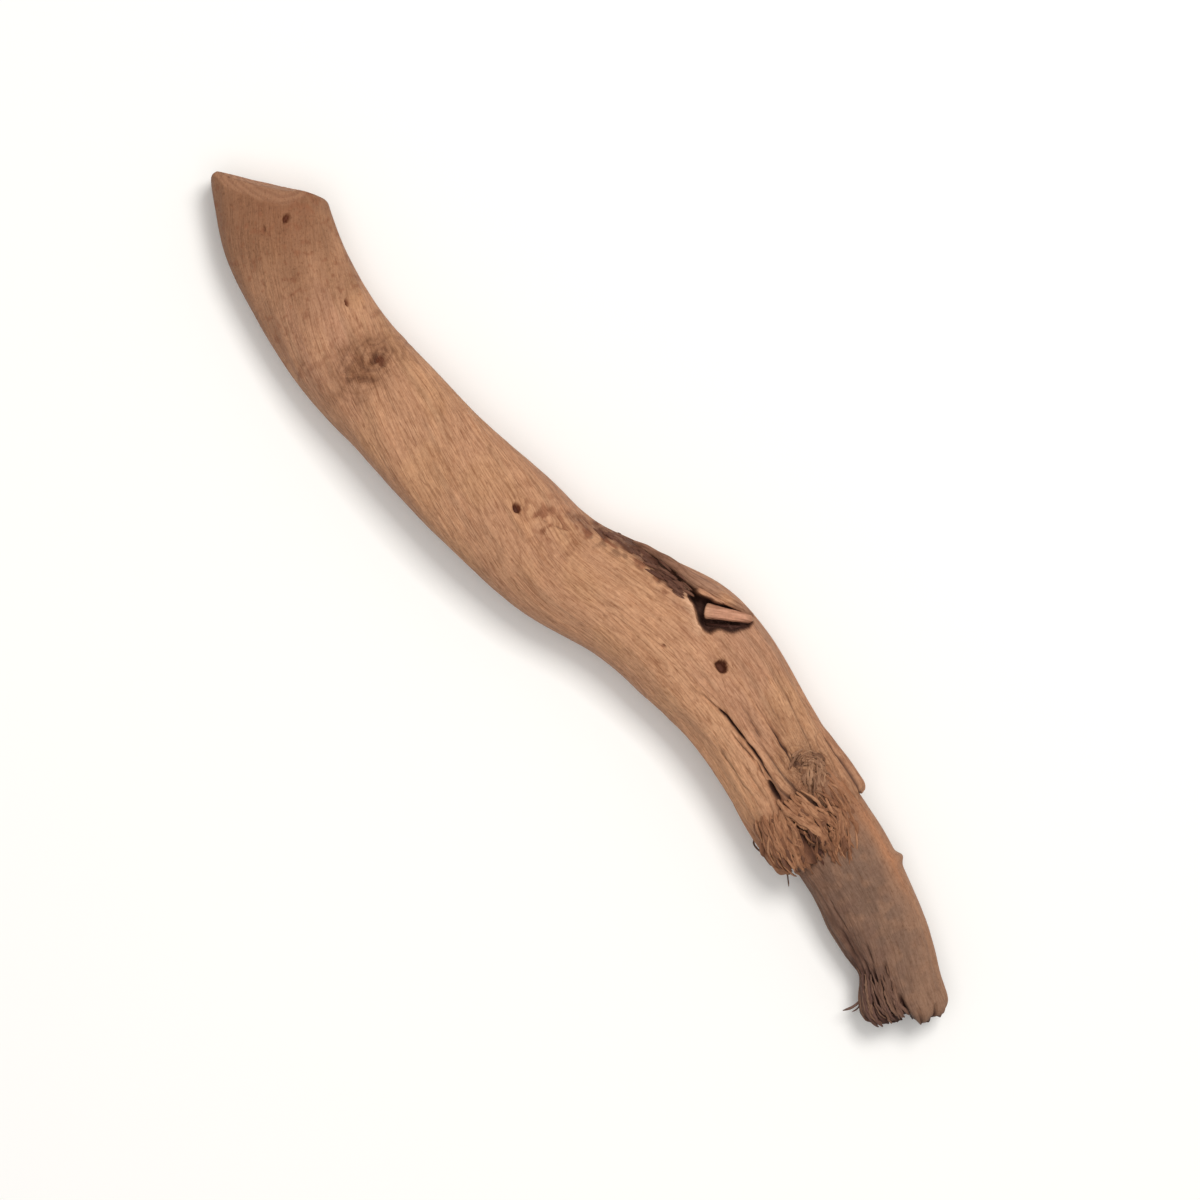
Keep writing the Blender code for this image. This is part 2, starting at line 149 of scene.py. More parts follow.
# Cracks and gaps between fibres: path, width and depth
CRACKS = (
    (((143.6, 6.6), (146.0, 7.3), (148.5, 7.8), (151.2, 8.2)), 0.40, 0.7),
    (((148.6, 7.8), (151.2, 8.2), (155.7, 8.3), (158.6, 8.4)), 0.52, 2.0),
    (((157.4, 8.3), (160.7, 8.4), (163.4, 8.4), (165.4, 8.1)), 0.46, 1.4),
    (((164.2, 8.2), (166.4, 7.8), (168.6, 7.4)), 0.42, 1.0),
    (((167.8, 7.1), (170.3, 6.4), (173.2, 5.9)), 0.80, 2.6),
    (((154.6, 6.9), (158.2, 7.1), (161.6, 7.2), (164.4, 7.2)), 0.40, 0.9),
    (((162.6, 7.5), (165.0, 7.2), (167.8, 6.7)), 0.40, 0.9),
    (((149.0, 11.4), (151.2, 12.1), (153.9, 12.4), (156.9, 11.8), (159.0, 11.4), (163.0, 11.3)), 0.50, 0.9),
    (((156.2, 12.0), (158.4, 11.5), (160.4, 11.2)), 0.60, 1.0),
    (((146.4, 10.4), (150.0, 10.6), (154.0, 10.3)), 0.42, 0.5),
    (((153.0, 17.6), (157.0, 17.4), (160.4, 17.0), (163.8, 16.8)), 0.50, 0.9),
    (((148.0, 16.6), (152.0, 16.3), (156.0, 16.0)), 0.42, 0.5),
    (
        (
            (156.6, 14.9), (159.6, 14.8), (162.1, 14.6), (164.3, 14.2), (167.0, 14.1), (169.8, 13.9),
            (172.0, 13.8),
        ),
        0.55, 1.3,
    ),
    (((160.6, 12.9), (164.6, 12.4), (168.6, 12.0), (171.6, 11.8)), 0.46, 0.9),
    (((161.0, 9.9), (165.0, 9.8), (169.0, 9.4), (172.8, 9.4)), 0.46, 0.8),
    (((145.2, 20.9), (149.0, 20.6), (154.0, 19.9)), 0.45, 0.6),
    (((166.5, 22.6), (169.1, 22.0), (173.0, 21.4), (178.0, 21.0), (182.4, 20.7)), 0.60, 1.0),
    (((150.5, 14.6), (153.6, 14.9), (157.0, 14.7)), 0.42, 0.6),
    (((152.0, 3.4), (158.0, 2.6), (165.0, 2.0), (172.0, 2.2)), 0.42, 0.5),
    (((162.0, 5.0), (167.0, 4.4), (172.0, 4.0)), 0.42, 0.5),
    (((44.9, -8.0), (44.4, -6.4), (45.1, -5.0), (44.3, -3.4), (44.7, -2.2), (44.1, -0.9)), 1.0, 0.9),
    (((43.0, -6.2), (42.7, -4.9), (43.3, -3.7)), 0.55, 0.5),
    (((46.3, -6.6), (46.0, -5.2), (46.7, -3.9), (46.3, -2.7)), 0.55, 0.5),
    (((42.6, -12.8), (43.6, -11.6), (43.3, -10.3)), 0.60, 0.4),
    (((45.6, -11.6), (46.2, -10.2), (45.8, -9.0)), 0.50, 0.35),
    (((48.0, -5.6), (48.3, -4.2)), 0.50, 0.35),
    (((93.4, 2.7), (94.6, 3.5), (95.9, 3.7)), 0.55, 0.8),
    (((96.0, 4.3), (97.5, 4.9), (98.8, 5.9)), 0.60, 0.9),
    (((97.0, 1.6), (98.2, 1.5)), 0.50, 0.5),
    (((101.5, 5.2), (103.2, 6.0)), 0.55, 0.5),
    (((105.4, 7.4), (107.2, 7.9)), 0.55, 0.5),
    (((110.6, 10.6), (112.4, 11.6)), 0.60, 0.5),
)
TORN_GAPS = (
    (((175.6, 4.6), (177.8, 5.1), (180.0, 5.6)), 0.8, 1.3),
    (((180.3, 6.0), (182.2, 6.4), (184.2, 6.8)), 1.1, 2.0),
    (((183.9, 7.6), (186.9, 7.4), (189.4, 7.1)), 1.8, 3.6),
    (((185.2, 4.6), (188.2, 4.2), (190.8, 4.0)), 1.6, 3.0),
    (((188.0, 2.8), (192.0, 2.5)), 1.4, 2.6),
    (((181.8, 10.8), (184.1, 11.2), (186.4, 11.4)), 1.4, 2.4),
    (((180.7, 4.8), (181.8, 3.4)), 0.9, 1.3),
    (((174.9, 6.8), (177.8, 8.2), (180.2, 9.5)), 0.9, 1.4),
    (((173.0, 10.0), (177.5, 10.1), (180.4, 10.3)), 0.7, 1.0),
    (((178.4, 2.1), (182.4, 1.2), (187.0, 0.2)), 0.8, 1.3),
    (((176.0, -0.4), (181.0, -1.2), (186.0, -1.9)), 0.7, 1.1),
    (((174.6, 3.2), (179.0, 2.4), (184.0, 2.4)), 0.7, 1.2),
    (((180.2, 13.0), (182.0, 13.6), (184.2, 13.2)), 0.7, 1.1),
    (((174.6, 14.9), (176.6, 13.8), (178.7, 12.4)), 0.8, 1.6),
)
TIP_GAPS = (
    (((210.0, -1.8), (214.6, -3.0), (218.4, -5.0), (221.6, -6.8)), 0.7, 1.0),
    (((211.6, -0.6), (216.4, -2.6), (220.6, -5.0), (225.0, -6.6)), 0.8, 1.3),
    (((213.0, 0.8), (218.0, -1.9), (222.0, -4.3), (227.4, -5.6)), 0.8, 1.5),
    (((216.6, 0.8), (220.6, -1.3), (224.6, -2.9), (228.6, -3.8)), 0.8, 1.5),
    (((218.6, 2.0), (222.4, 0.3), (226.0, -1.2), (229.4, -2.0)), 0.8, 1.5),
    (((222.0, 1.6), (225.0, 0.5), (228.0, -0.2), (230.4, -0.4)), 1.0, 2.2),
    (((208.8, 2.2), (211.6, 1.4), (214.2, 0.6)), 0.6, 0.8),
    (((214.5, 3.4), (216.5, 2.4), (218.4, 1.7)), 0.7, 0.9),
    (((227.0, 2.9), (230.0, 2.1), (233.5, 1.6)), 0.7, 1.1),
    (((228.6, 6.6), (231.0, 5.9), (234.5, 5.4)), 0.7, 1.4),
    (((203.0, -0.4), (208.0, -1.2), (212.0, -2.2)), 0.6, 0.7),
    (((194.0, 2.2), (200.0, 1.2), (206.0, 0.8)), 0.5, 0.5),
)
# Pits: place, length along the grain, width, depth, and degrees turned out of the grain
PITS = (
    ((142.5, 14.0), 3.1, 2.8, 2.4, 0),
    ((88.7, 0.0), 2.4, 2.0, 1.7, 0),
    ((9.0, -1.5), 2.9, 1.3, 1.5, -28),
    ((7.8, -7.0), 1.6, 0.9, 0.5, 0),
    ((31.1, -2.1), 2.4, 1.1, 0.8, 0),
    ((131.4, 6.9), 1.3, 1.0, 0.6, 0),
    ((122.3, 14.2), 1.9, 1.5, 0.5, 0),
    ((45.6, -3.9), 3.4, 2.4, 0.7, 0),
)
# Middles of the stain round the knot and of the swirl of grain beside the torn zone
STAIN = (44.8, -7.2)
SWIRL = (172.9, 15.9)
# The tip: half its width, how its end slants, and its outline as distances across and along
TIP_HALF_WIDTH = 8.0
TIP_SLANT = 0.25
TIP_OUTLINE = (
    (-9.5, 222.0), (-8.0, 223.4), (-7.3, 224.6), (-6.3, 225.6), (-4.5, 226.1), (-2.9, 226.7), (-1.4, 226.6),
    (-0.4, 226.9), (0.2, 228.2), (0.8, 230.0), (1.6, 230.8), (2.6, 231.1), (3.6, 230.8), (4.4, 230.5),
    (5.0, 231.1), (5.9, 231.9), (6.9, 232.1), (7.9, 231.5), (8.9, 229.8), (9.8, 227.6), (10.6, 226.0),
)

# Rows of the torn lip under the outer layer: distance back, and share of the way to the heart
TORN_LIP = ((-0.1, 0.03), (0.3, 0.07), (1.2, 0.10), (4.0, 0.13), (9.0, 0.19))
# Rows that close the core's broken end: share of the way to the heart, and distance back
BROKEN_END = ((0.10, 0.3), (0.26, 2.0), (0.48, 0.9), (0.70, 2.4), (0.88, 1.4))

# How many fibres and strips there are of each kind
SWIRL_ARCS, SWIRL_FIBRES = 28, 24
TIP_BUNDLES, INNER_FIBRES = 104, 420
BARK_STRIPS = 70

# How finely the skins and the saw cut are divided
TRUNK_ROWS, TRUNK_COLUMNS = 486, 190
CORE_ROWS, CORE_COLUMNS = 330, 260
CAP_ROWS = 13
# Where the core's skin starts under the outer layer, and the first place where its form is read
CORE_START = 166.0
CORE_FORM_START = 151.0


def linear(colour):
    """Linear colour from 0-255 values."""
    share = np.array(colour, float) / 255
    return np.where(share <= 0.04045, share / 12.92, ((share + 0.055) / 1.055) ** 2.4)


def paint(colour):
    """Linear colour with an opacity, from 0-255 values."""
    return (*linear(colour).tolist(), 1.0)


# Paints of the saw cut's rings, the painted shade of the crevices, and the floor
RING_LIGHT, RING_DARK = paint((168, 122, 92)), paint((150, 106, 79))
CREVICE_SHADE = paint((62, 35, 26))
FLOOR_GREY, FLOOR_WHITE = paint((243, 241, 238)), paint((247, 246, 244))

# Colours of the wood
TAN = linear((188, 140, 107))
LIGHT_TAN = linear((208, 157, 119))
PINK_TAN = linear((178, 131, 104))
END_TAN = linear((134, 92, 64))
# The left flank's grey is partly a grey tint and partly painted shade
FLANK_GREY_AND_SHADE = linear((158, 120, 96))
# The underside's darker colour is painted shade
UNDERSIDE_SHADE = linear((146, 108, 82))
KNOT_BROWN = linear((136, 92, 62))
KNOT_DARK = linear((92, 54, 34))
PIT_BROWN = linear((104, 54, 30))
OCHRE = linear((192, 145, 104))
DULL = linear((150, 114, 86))
FLECK = linear((136, 84, 56))
BARK = linear((98, 61, 47))
SWIRL_GREY = linear((152, 113, 87))
SWIRL_LIGHT = linear((182, 140, 109))
SWIRL_DARK = linear((104, 70, 50))
TORN_LIGHT = linear((184, 136, 102))
TORN_TAN = linear((158, 110, 79))
TORN_BROWN = linear((112, 70, 50))
TORN_DARK = linear((74, 42, 32))
# The hollow's brown is partly its floor's reddish brown and partly painted shade
HOLLOW_BROWN_AND_SHADE = linear((84, 54, 44))
RIM_BROWN = linear((156, 116, 92))
STUB_TAN = linear((200, 148, 121))
# A painted highlight for the hollow's rim
PALE_RIM_HIGHLIGHT = linear((224, 178, 144))
CORE_GREY = linear((123, 95, 78))
CORE_TAN = linear((142, 108, 86))
CORE_FLANK = linear((170, 127, 98))
CORE_ORANGE = linear((184, 126, 88))
CORE_LEFT = linear((118, 87, 71))
TIP_BROWN = linear((97, 68, 60))
# Colours of fibres from light through middle to dark
TORN_COLOURS = (TORN_LIGHT, TORN_TAN, TORN_DARK)
SWIRL_COLOURS = (SWIRL_LIGHT, SWIRL_GREY, SWIRL_DARK)
TIP_COLOURS = (CORE_TAN, CORE_LEFT, TIP_BROWN)


# Noise on a lattice of random values
CELLS_ALONG = 509
CELLS_ACROSS = 251


def lattice(u, v, seed, wrap):
    """Smooth noise from -1 to 1. v runs round the root and repeats after wrap cells."""
    table = np.random.default_rng(seed).uniform(-1, 1, (CELLS_ALONG, wrap))
    cell_u, cell_v = np.floor(u).astype(int), np.floor(v).astype(int)
    part_u, part_v = u - cell_u, v - cell_v
    part_u = part_u * part_u * (3 - 2 * part_u)
    part_v = part_v * part_v * (3 - 2 * part_v)
    low_u, high_u = cell_u % CELLS_ALONG, (cell_u + 1) % CELLS_ALONG
    low_v, high_v = cell_v % wrap, (cell_v + 1) % wrap
    before = table[low_u, low_v] * (1 - part_v) + table[low_u, high_v] * part_v
    after = table[high_u, low_v] * (1 - part_v) + table[high_u, high_v] * part_v
    return before * (1 - part_u) + after * part_u


def streaks(along, round_share, length, wrap, seed):
    """Noise drawn out along the grain: length in mm, and wrap cells round the root."""
    return lattice(along / length + 40, round_share * wrap, seed, wrap)


def furrows(along, round_share, length, wrap, seed, sharp=5.0):
    """Narrow lines along the grain, 1 in a line and 0 between."""
    return (1 - np.abs(streaks(along, round_share, length, wrap, seed))) ** sharp


def speckle(x, y, size, seed):
    """Noise in plan, with the same size both ways."""
    return lattice(x / size + 90, y / size + 90, seed, CELLS_ACROSS)


def rise(value, low, high):
    """0 below low, 1 above high, smooth between."""
    t = np.clip((value - low) / (high - low), 0, 1)
    return t * t * (3 - 2 * t)


def from_table(table, value, **period):
    """The value beside a place in a table of pairs."""
    return np.interp(value, [row[0] for row in table], [row[1] for row in table], **period)


def blend(base, *layers):
    """Colours part of the way from base to other colours, each given with its share."""
    for colour, share in zip(layers[::2], layers[1::2]):
        base = base + (colour - base) * np.clip(share, 0, 1)[..., None]
    return base


def bell(value, spread):
    """1 at 0, falling to 0 on both sides over the spread."""
    return np.exp(-((value / spread) ** 2))


def spot(x, y, place, reach):
    """1 at a place in plan, falling to 0 over a reach along and a reach across."""
    return bell(np.hypot((x - place[0]) / reach[0], (y - place[1]) / reach[1]), 1)


def rounding(distance, reach):
    """1 at an edge, falling to 0 at a reach from it as a quarter circle does."""
    t = np.clip(1 - distance / reach, 0, 1)
    return 1 - np.sqrt(1 - t**2)


def unit(vectors):
    """Vectors in the same directions with length 1."""
    return vectors / np.linalg.norm(vectors, axis=-1, keepdims=True)


# Form, as in the solid
def through(stations, column, along):
    """The value of one column, on a smooth curve through the stations."""
    x = np.array([s[0] for s in stations], float)
    y = np.array([s[column] for s in stations], float)
    slope = np.gradient(y, x)
    i = np.clip(np.searchsorted(x, along) - 1, 0, len(x) - 2)
    gap = x[i + 1] - x[i]
    t = (along - x[i]) / gap
    return (
        y[i] * (1 + 2 * t) * (1 - t) ** 2
        + slope[i] * gap * t * (1 - t) ** 2
        + y[i + 1] * t * t * (3 - 2 * t)
        + slope[i + 1] * gap * t * t * (t - 1)
    )


def winding(along):
    """Angle by which the grain has turned round the trunk."""
    rate = math.tan(GRAIN_SLANT) / GRAIN_RADIUS
    return rate * (along - WINDING_FADE * np.logaddexp(0, (along - WINDING_ENDS) / WINDING_FADE))


def flutes(along, angle):
    """Share by which broad lobes and narrower flutes lift the surface."""
    round_trunk = angle - winding(along)
    lobes = (
        0.030 * np.cos(2 * round_trunk + 0.4)
        + 0.030 * np.cos(3 * round_trunk + 2.2 + along / 55)
        + 0.018 * np.cos(5 * round_trunk + along / 34)
    )
    ridge_share = 0.011 + 0.022 / (1 + np.exp((RIDGES_START - along) / 7))
    lobes += ridge_share * np.cos(11 * round_trunk + 1.4 * np.sin(along / 19))
    return lobes * np.abs(np.sin(angle)) ** 0.8


def bend(stations, along):
    """The root's middle in plan, and its slope there."""
    middle, ahead, behind = (through(stations, SHIFT, along + step) for step in (0, 0.5, -0.5))
    return middle, ahead - behind


def skin(stations, along, angle):
    """Points of a skin, and the middle of the root beside each."""
    middle, turn = bend(stations, along)
    stretch = np.sqrt(1 + turn**2)
    half_width = through(stations, HALF_WIDTH, along)
    half_height = through(stations, HALF_HEIGHT, along)
    heart = through(stations, BOTTOM, along) + half_height
    cos, sin = np.cos(angle), np.sin(angle)
    radius = (np.abs(cos) ** SQUARENESS + np.abs(sin) ** SQUARENESS) ** (-1 / SQUARENESS)
    radius = radius * (1 + flutes(along, angle))
    across = half_width * radius * cos
    x = along - turn / stretch * across
    y = middle + across / stretch
    z = heart + half_height * radius * sin
    away = np.hypot(x - KNOT[0], y - KNOT[1]) / KNOT_SPREAD
    z = z + KNOT_HEIGHT * bell(away, 1) * (sin > 0)
    centre = np.stack([along + 0 * x, middle + 0 * x, heart + 0 * x], axis=-1)
    return np.stack([x, y, z], axis=-1), centre


def on_top(stations, x, y):
    """Distance along, angle, point and outward direction of a skin's upper side at places in plan."""
    along = np.array(x, float)
    for _ in range(8):
        middle, turn = bend(stations, along)
        along = x + turn * (y - middle)
    low, high = np.zeros_like(along), np.full_like(along, math.pi)
    for _ in range(24):
        angle = (low + high) / 2
        points, centre = skin(stations, along, angle)
        beyond = points[..., 1] > y
        low = np.where(beyond, angle, low)
        high = np.where(beyond, high, angle)
    return along, angle, points, unit(points - centre)


def torn_edge(angle):
    """Distance along at which the outer layer is torn off."""
    return from_table(TORN_EDGE, np.degrees(angle) % 360, period=360)


def turned_to(angle, degrees, spread):
    """1 where the angle round the root is near a direction, falling to 0 over the spread."""
    off = (np.degrees(angle) - degrees + 180) % 360 - 180
    return bell(off, spread)


def merging(angle):
    """1 where the outer layer runs out on to the core without a step, on the upper right."""
    degrees = np.degrees(angle) % 360
    return rise(degrees, 15, 32) * (1 - rise(degrees, 66, 90))


# Marks placed in plan
def from_path(x, y, path):
    """Distance from a path in plan, and the share of its length where the nearest point lies."""
    best = np.full(np.shape(x), 1e9)
    share = np.zeros(np.shape(x))
    for i, (a, b) in enumerate(zip(path[:-1], path[1:])):
        run = (b[0] - a[0], b[1] - a[1])
        t = ((x - a[0]) * run[0] + (y - a[1]) * run[1]) / (run[0] ** 2 + run[1] ** 2)
        t = np.clip(t, 0, 1)
        away = np.hypot(x - a[0] - t * run[0], y - a[1] - t * run[1])
        share = np.where(away < best, (i + t) / (len(path) - 1), share)
        best = np.minimum(best, away)
    return best, share


def inside(x, y, outline):
    """Whether points lie inside an outline in plan."""
    within = np.zeros(np.shape(x), bool)
    for (ax, ay), (bx, by) in zip(outline, outline[1:] + outline[:1]):
        crosses = (ay > y) != (by > y)
        edge_x = ax + (bx - ax) * (y - ay) / (by - ay if by != ay else 1e-9)
        within ^= crosses & (x < edge_x)
    return within


def crack_depth(x, y, cracks):
    """Depth in mm of cracks that wander a little and run out at both ends."""
    x = x + 0.10 * speckle(x, y, 1.7, 91)
    y = y + 0.16 * speckle(x, y, 2.3, 92)
    depth = np.zeros(np.shape(x))
    for path, width, deepest in cracks:
        away, share = from_path(x, y, path)
        run_out = np.clip(np.sin(math.pi * np.clip(share, 0, 1)), 0, 1) ** 0.7
        depth = np.maximum(depth, deepest * run_out * bell(away, 0.6 * width))
    return depth


def pit_depth(x, y):
    """Depth in mm of the pits, which are a little uneven in outline."""
    depth = np.zeros(np.shape(x))
    for (px, py), length, width, deepest, turned in PITS:
        slope = float(through(TRUNK, SHIFT, px + 2) - through(TRUNK, SHIFT, px - 2)) / 4
        heading = math.atan(slope) - GRAIN_SLANT * (px < WINDING_ENDS) + math.radians(turned)
        dx, dy = x - px, y - py
        forward = dx * math.cos(heading) + dy * math.sin(heading)
        aside = -dx * math.sin(heading) + dy * math.cos(heading)
        away = np.hypot(forward / (length / 2), aside / (width / 2))
        away = away + 0.16 * speckle(x, y, 0.9, 93)
        depth = np.maximum(depth, deepest * (1 - rise(away, 0.5, 1.08)))
    return depth


# Materials
class Graph:
    """Short calls for building one material's nodes."""

    def __init__(self, name):
        self.material = bpy.data.materials.new(name)
        self.material.use_nodes = True
        self.nodes = self.material.node_tree.nodes
        self.links = self.material.node_tree.links
        self.shader = self.nodes["Principled BSDF"]

    def feed(self, socket, value):
        if isinstance(value, bpy.types.NodeSocket):
            self.links.new(value, socket)
        elif value is not None:
            socket.default_value = value

    def add(self, kind, output, inputs, **settings):
        """One output of a new node with these inputs and settings."""
        node = self.nodes.new("ShaderNode" + kind)
        for name, value in settings.items():
            setattr(node, name, value)
        for name, value in inputs.items():
            self.feed(node.inputs[name], value)
        return node.outputs[output]

    def attribute(self, name, output="Fac"):
        return self.add("Attribute", output, {}, attribute_name=name)

    def place(self):
        return self.add("TexCoord", "Object", {})

    def noise(self, vector, scale, detail=3.0, rough=0.55, distortion=0.0, shift=(0, 0, 0)):
        scales = scale if isinstance(scale, tuple) else (scale, scale, scale)
        stretched = self.add("Mapping", "Vector", {"Vector": vector, "Scale": scales, "Location": shift})
        inputs = {"Vector": stretched, "Scale": 1.0, "Detail": detail, "Roughness": rough}
        return self.add("TexNoise", "Fac", {**inputs, "Distortion": distortion})

    def math(self, operation, a, b=None):
        return self.add("Math", 0, {0: a, 1: b}, operation=operation)

    def times(self, a, b):
        return self.math("MULTIPLY", a, b)

    def band(self, value, low, high, to_low=0.0, to_high=1.0):
        inputs = {"Value": value, "From Min": low, "From Max": high, "To Min": to_low, "To Max": to_high}
        return self.add("MapRange", "Result", inputs, interpolation_type="SMOOTHSTEP")

    def line(self, noise, width, strength):
        """Thin lines where a noise crosses its middle value."""
        off = self.math("ABSOLUTE", self.math("SUBTRACT", noise, 0.5))
        return self.band(off, 0.0, width, strength, 0.0)

    def mix(self, share, a, b, mode="MIX"):
        """Two colours mixed. The node keeps them in its inputs 6 and 7 and gives a colour at output 2."""
        return self.add("Mix", 2, {"Factor": share, 6: a, 7: b}, data_type="RGBA", blend_type=mode)

    def tint(self, share, colour, factors):
        """The colour times three factors, as far as the share says."""
        return self.mix(share, colour, (*factors, 1.0), "MULTIPLY")

    def tints(self, colour, *rows):
        """The colour times three factors, as far as each noise has gone from one value to another."""
        for noise, start, end, factors in rows:
            colour = self.tint(self.band(noise, start, end), colour, factors)
        return colour

    def bump(self, height, strength, distance):
        inputs = {"Height": height, "Strength": strength, "Distance": distance}
        self.feed(self.shader.inputs["Normal"], self.add("Bump", "Normal", inputs))

    def finish(self, colour, roughness, specular):
        self.feed(self.shader.inputs["Base Color"], colour)
        self.feed(self.shader.inputs["Roughness"], roughness)
        self.shader.inputs["Specular IOR Level"].default_value = specular
        return self.material


def root_wood():
    """Bare weathered wood: fibres, or fine mottling where it is worn, over the colour of each region."""
    g = Graph("weathered_root_wood")
    place, grain = g.place(), g.attribute("grain", "Vector")
    blotches = g.noise(place, 170, 4.0, 0.62, 0.4)
    broad = g.noise(grain, (0.06, 0.50, 0.50), 3.0, 0.6)
    strips = g.noise(grain, (0.14, 1.5, 1.5), 3.0, 0.6, 0.25, (7, 3, 1))
    fibres = g.noise(grain, (0.34, 3.4, 3.4), 4.0, 0.68, 0.2)
    short = g.noise(grain, (0.75, 4.6, 4.6), 2.0, 0.6, 0.0, (3, 9, 4))
    long_lines = g.noise(grain, (0.10, 0.85, 0.85), 2.0, 0.5, 0.1, (21, 4, 8))
    fine_lines = g.noise(grain, (0.20, 2.1, 2.1), 2.0, 0.5, 0.1, (2, 14, 6))
    where = g.noise(grain, (0.15, 0.42, 0.42), 2.0, 0.5, 0.0, (5, 31, 12))
    grains = g.noise(place, 1050, 4.0, 0.72)
    specks = g.noise(place, 1900, 2.0, 0.6, 0.0, (4, 4, 4))

    tone = g.tints(
        g.attribute("tone", "Color"),
        (blotches, 0.45, 0.64, (0.94, 0.93, 0.92)),
        (blotches, 0.46, 0.30, (1.05, 1.04, 1.03)),
        (grains, 0.50, 0.66, (0.88, 0.86, 0.84)),
        (grains, 0.48, 0.34, (1.09, 1.09, 1.08)),
    )
    colour = g.tints(
        tone,
        (broad, 0.50, 0.74, (0.93, 0.90, 0.87)),
        (strips, 0.52, 0.72, (0.85, 0.79, 0.75)),
        (strips, 0.47, 0.28, (1.09, 1.09, 1.09)),
        (fibres, 0.50, 0.72, (0.79, 0.72, 0.67)),
        (fibres, 0.48, 0.28, (1.12, 1.13, 1.13)),
        (short, 0.60, 0.76, (0.74, 0.66, 0.60)),
    )
    lines = g.times(g.line(long_lines, 0.06, 0.6), g.band(where, 0.40, 0.54))
    colour = g.tint(lines, colour, (0.56, 0.46, 0.39))
    lines = g.times(g.line(fine_lines, 0.10, 0.6), g.band(where, 0.60, 0.46))
    colour = g.tint(lines, colour, (0.66, 0.57, 0.50))

    # Worn wood has lost its fibres and shows pores and specks
    worn = g.tints(
        tone,
        (specks, 0.56, 0.72, (0.66, 0.58, 0.52)),
        (specks, 0.42, 0.28, (1.18, 1.17, 1.15)),
        (strips, 0.53, 0.76, (0.90, 0.86, 0.83)),
        (fibres, 0.54, 0.74, (0.84, 0.79, 0.75)),
    )
    colour = g.mix(g.attribute("worn"), colour, worn)

    # Wrinkles round the knot and in the swirl
    curls = g.noise(place, 300, 2.0, 0.5, 2.6)
    small_curls = g.noise(place, 620, 2.0, 0.5, 1.8, (2, 8, 5))
    curly = g.attribute("curly")
    for wrinkles, factors in (
        (g.line(curls, 0.055, 1.0), (0.58, 0.48, 0.42)),
        (g.line(small_curls, 0.05, 0.9), (0.62, 0.52, 0.45)),
        (g.band(curls, 0.60, 0.72), (1.28, 1.28, 1.22)),
    ):
        colour = g.tint(g.times(wrinkles, curly), colour, factors)

    # Growth rings where the grain is cut across
    wobble = g.times(g.noise(place, 170), 2.2)
    ring = g.times(g.math("ADD", g.attribute("rings"), wobble), 4.4)
    cut_colour = g.mix(g.band(g.math("SINE", ring), -0.6, 1.0), RING_LIGHT, RING_DARK)
    cut_colour = g.tints(cut_colour, (g.noise(place, 2400, 2.0), 0.52, 0.72, (0.66, 0.56, 0.50)))
    colour = g.mix(g.attribute("cut"), colour, cut_colour)

    # Painted shade: cracks, gaps, pits, grooves and hollows are darkened towards a dark brown
    colour = g.mix(g.band(g.attribute("crevice"), 0.04, 0.9), colour, CREVICE_SHADE)
    relief = g.times(fibres, -0.9)
    for noise, height in ((short, -0.5), (strips, -1.1), (grains, -0.5)):
        relief = g.math("ADD", relief, g.times(noise, height))
    relief = g.math("ADD", relief, g.times(g.line(curls, 0.08, -1.2), curly))
    relief = g.math("ADD", relief, g.line(long_lines, 0.06, -0.35))
    g.bump(relief, 0.6, 0.0003)
    return g.finish(colour, g.band(fibres, 0.3, 0.75, 0.66, 0.88), 0.3)


def pale_floor():
    g = Graph("pale_floor")
    cloud = g.noise(g.place(), 3, 2.0)
    return g.finish(g.mix(cloud, FLOOR_GREY, FLOOR_WHITE), 0.9, 0.1)


# Meshes
def to_row(points):
    """Millimetres along and across the root to metres in the row frame."""
    return (points - np.array((MIDDLE[0], MIDDLE[1], 0.0))) * MM


def worn_bevel(points):
    """Points of the sawn end brought down to the worn bevel, and how far each came."""
    over = (points - WORN_POINT) @ WORN_NORMAL
    down = np.logaddexp(0, over / WORN_SOFTNESS) * WORN_SOFTNESS * (points[..., 0] < WORN_ENDS)
    return points - down[..., None] * WORN_NORMAL, down


def rounded_corner(points):
    """Points of the sawn end drawn in to a circle in plan at the acute corner."""
    saw = SAW_NORMAL[:2] / np.linalg.norm(SAW_NORMAL[:2])
    sides = np.array((saw, FLANK_NORMAL))
    centre = CORNER - np.linalg.solve(sides, (CORNER_RADIUS, CORNER_RADIUS))
    offset = points[..., :2] - centre
    parts = offset @ np.linalg.inv(sides)
    away = np.linalg.norm(offset, axis=-1)
    outside = (parts[..., 0] > 0) & (parts[..., 1] > 0) & (away > CORNER_RADIUS)
    scale = np.where(outside, CORNER_RADIUS / np.maximum(away, 1e-6), 1.0)
    points = points.copy()
    points[..., :2] = centre + offset * scale[..., None]
    return points


def on_floor(points):
    """Points kept just above the surface, which wears the root flat where it touches."""
    points = np.array(points, float)
    points[..., 2] = np.logaddexp(0, points[..., 2] / FLAT_SOFTNESS) * FLAT_SOFTNESS
    return points


# What the material reads at each point, and how many numbers each takes
# The crevice value is painted shade in cracks, gaps, pits and hollows
ATTRIBUTES = {"grain": 3, "tone": 3, "crevice": 1, "worn": 1, "curly": 1, "cut": 1, "rings": 1}


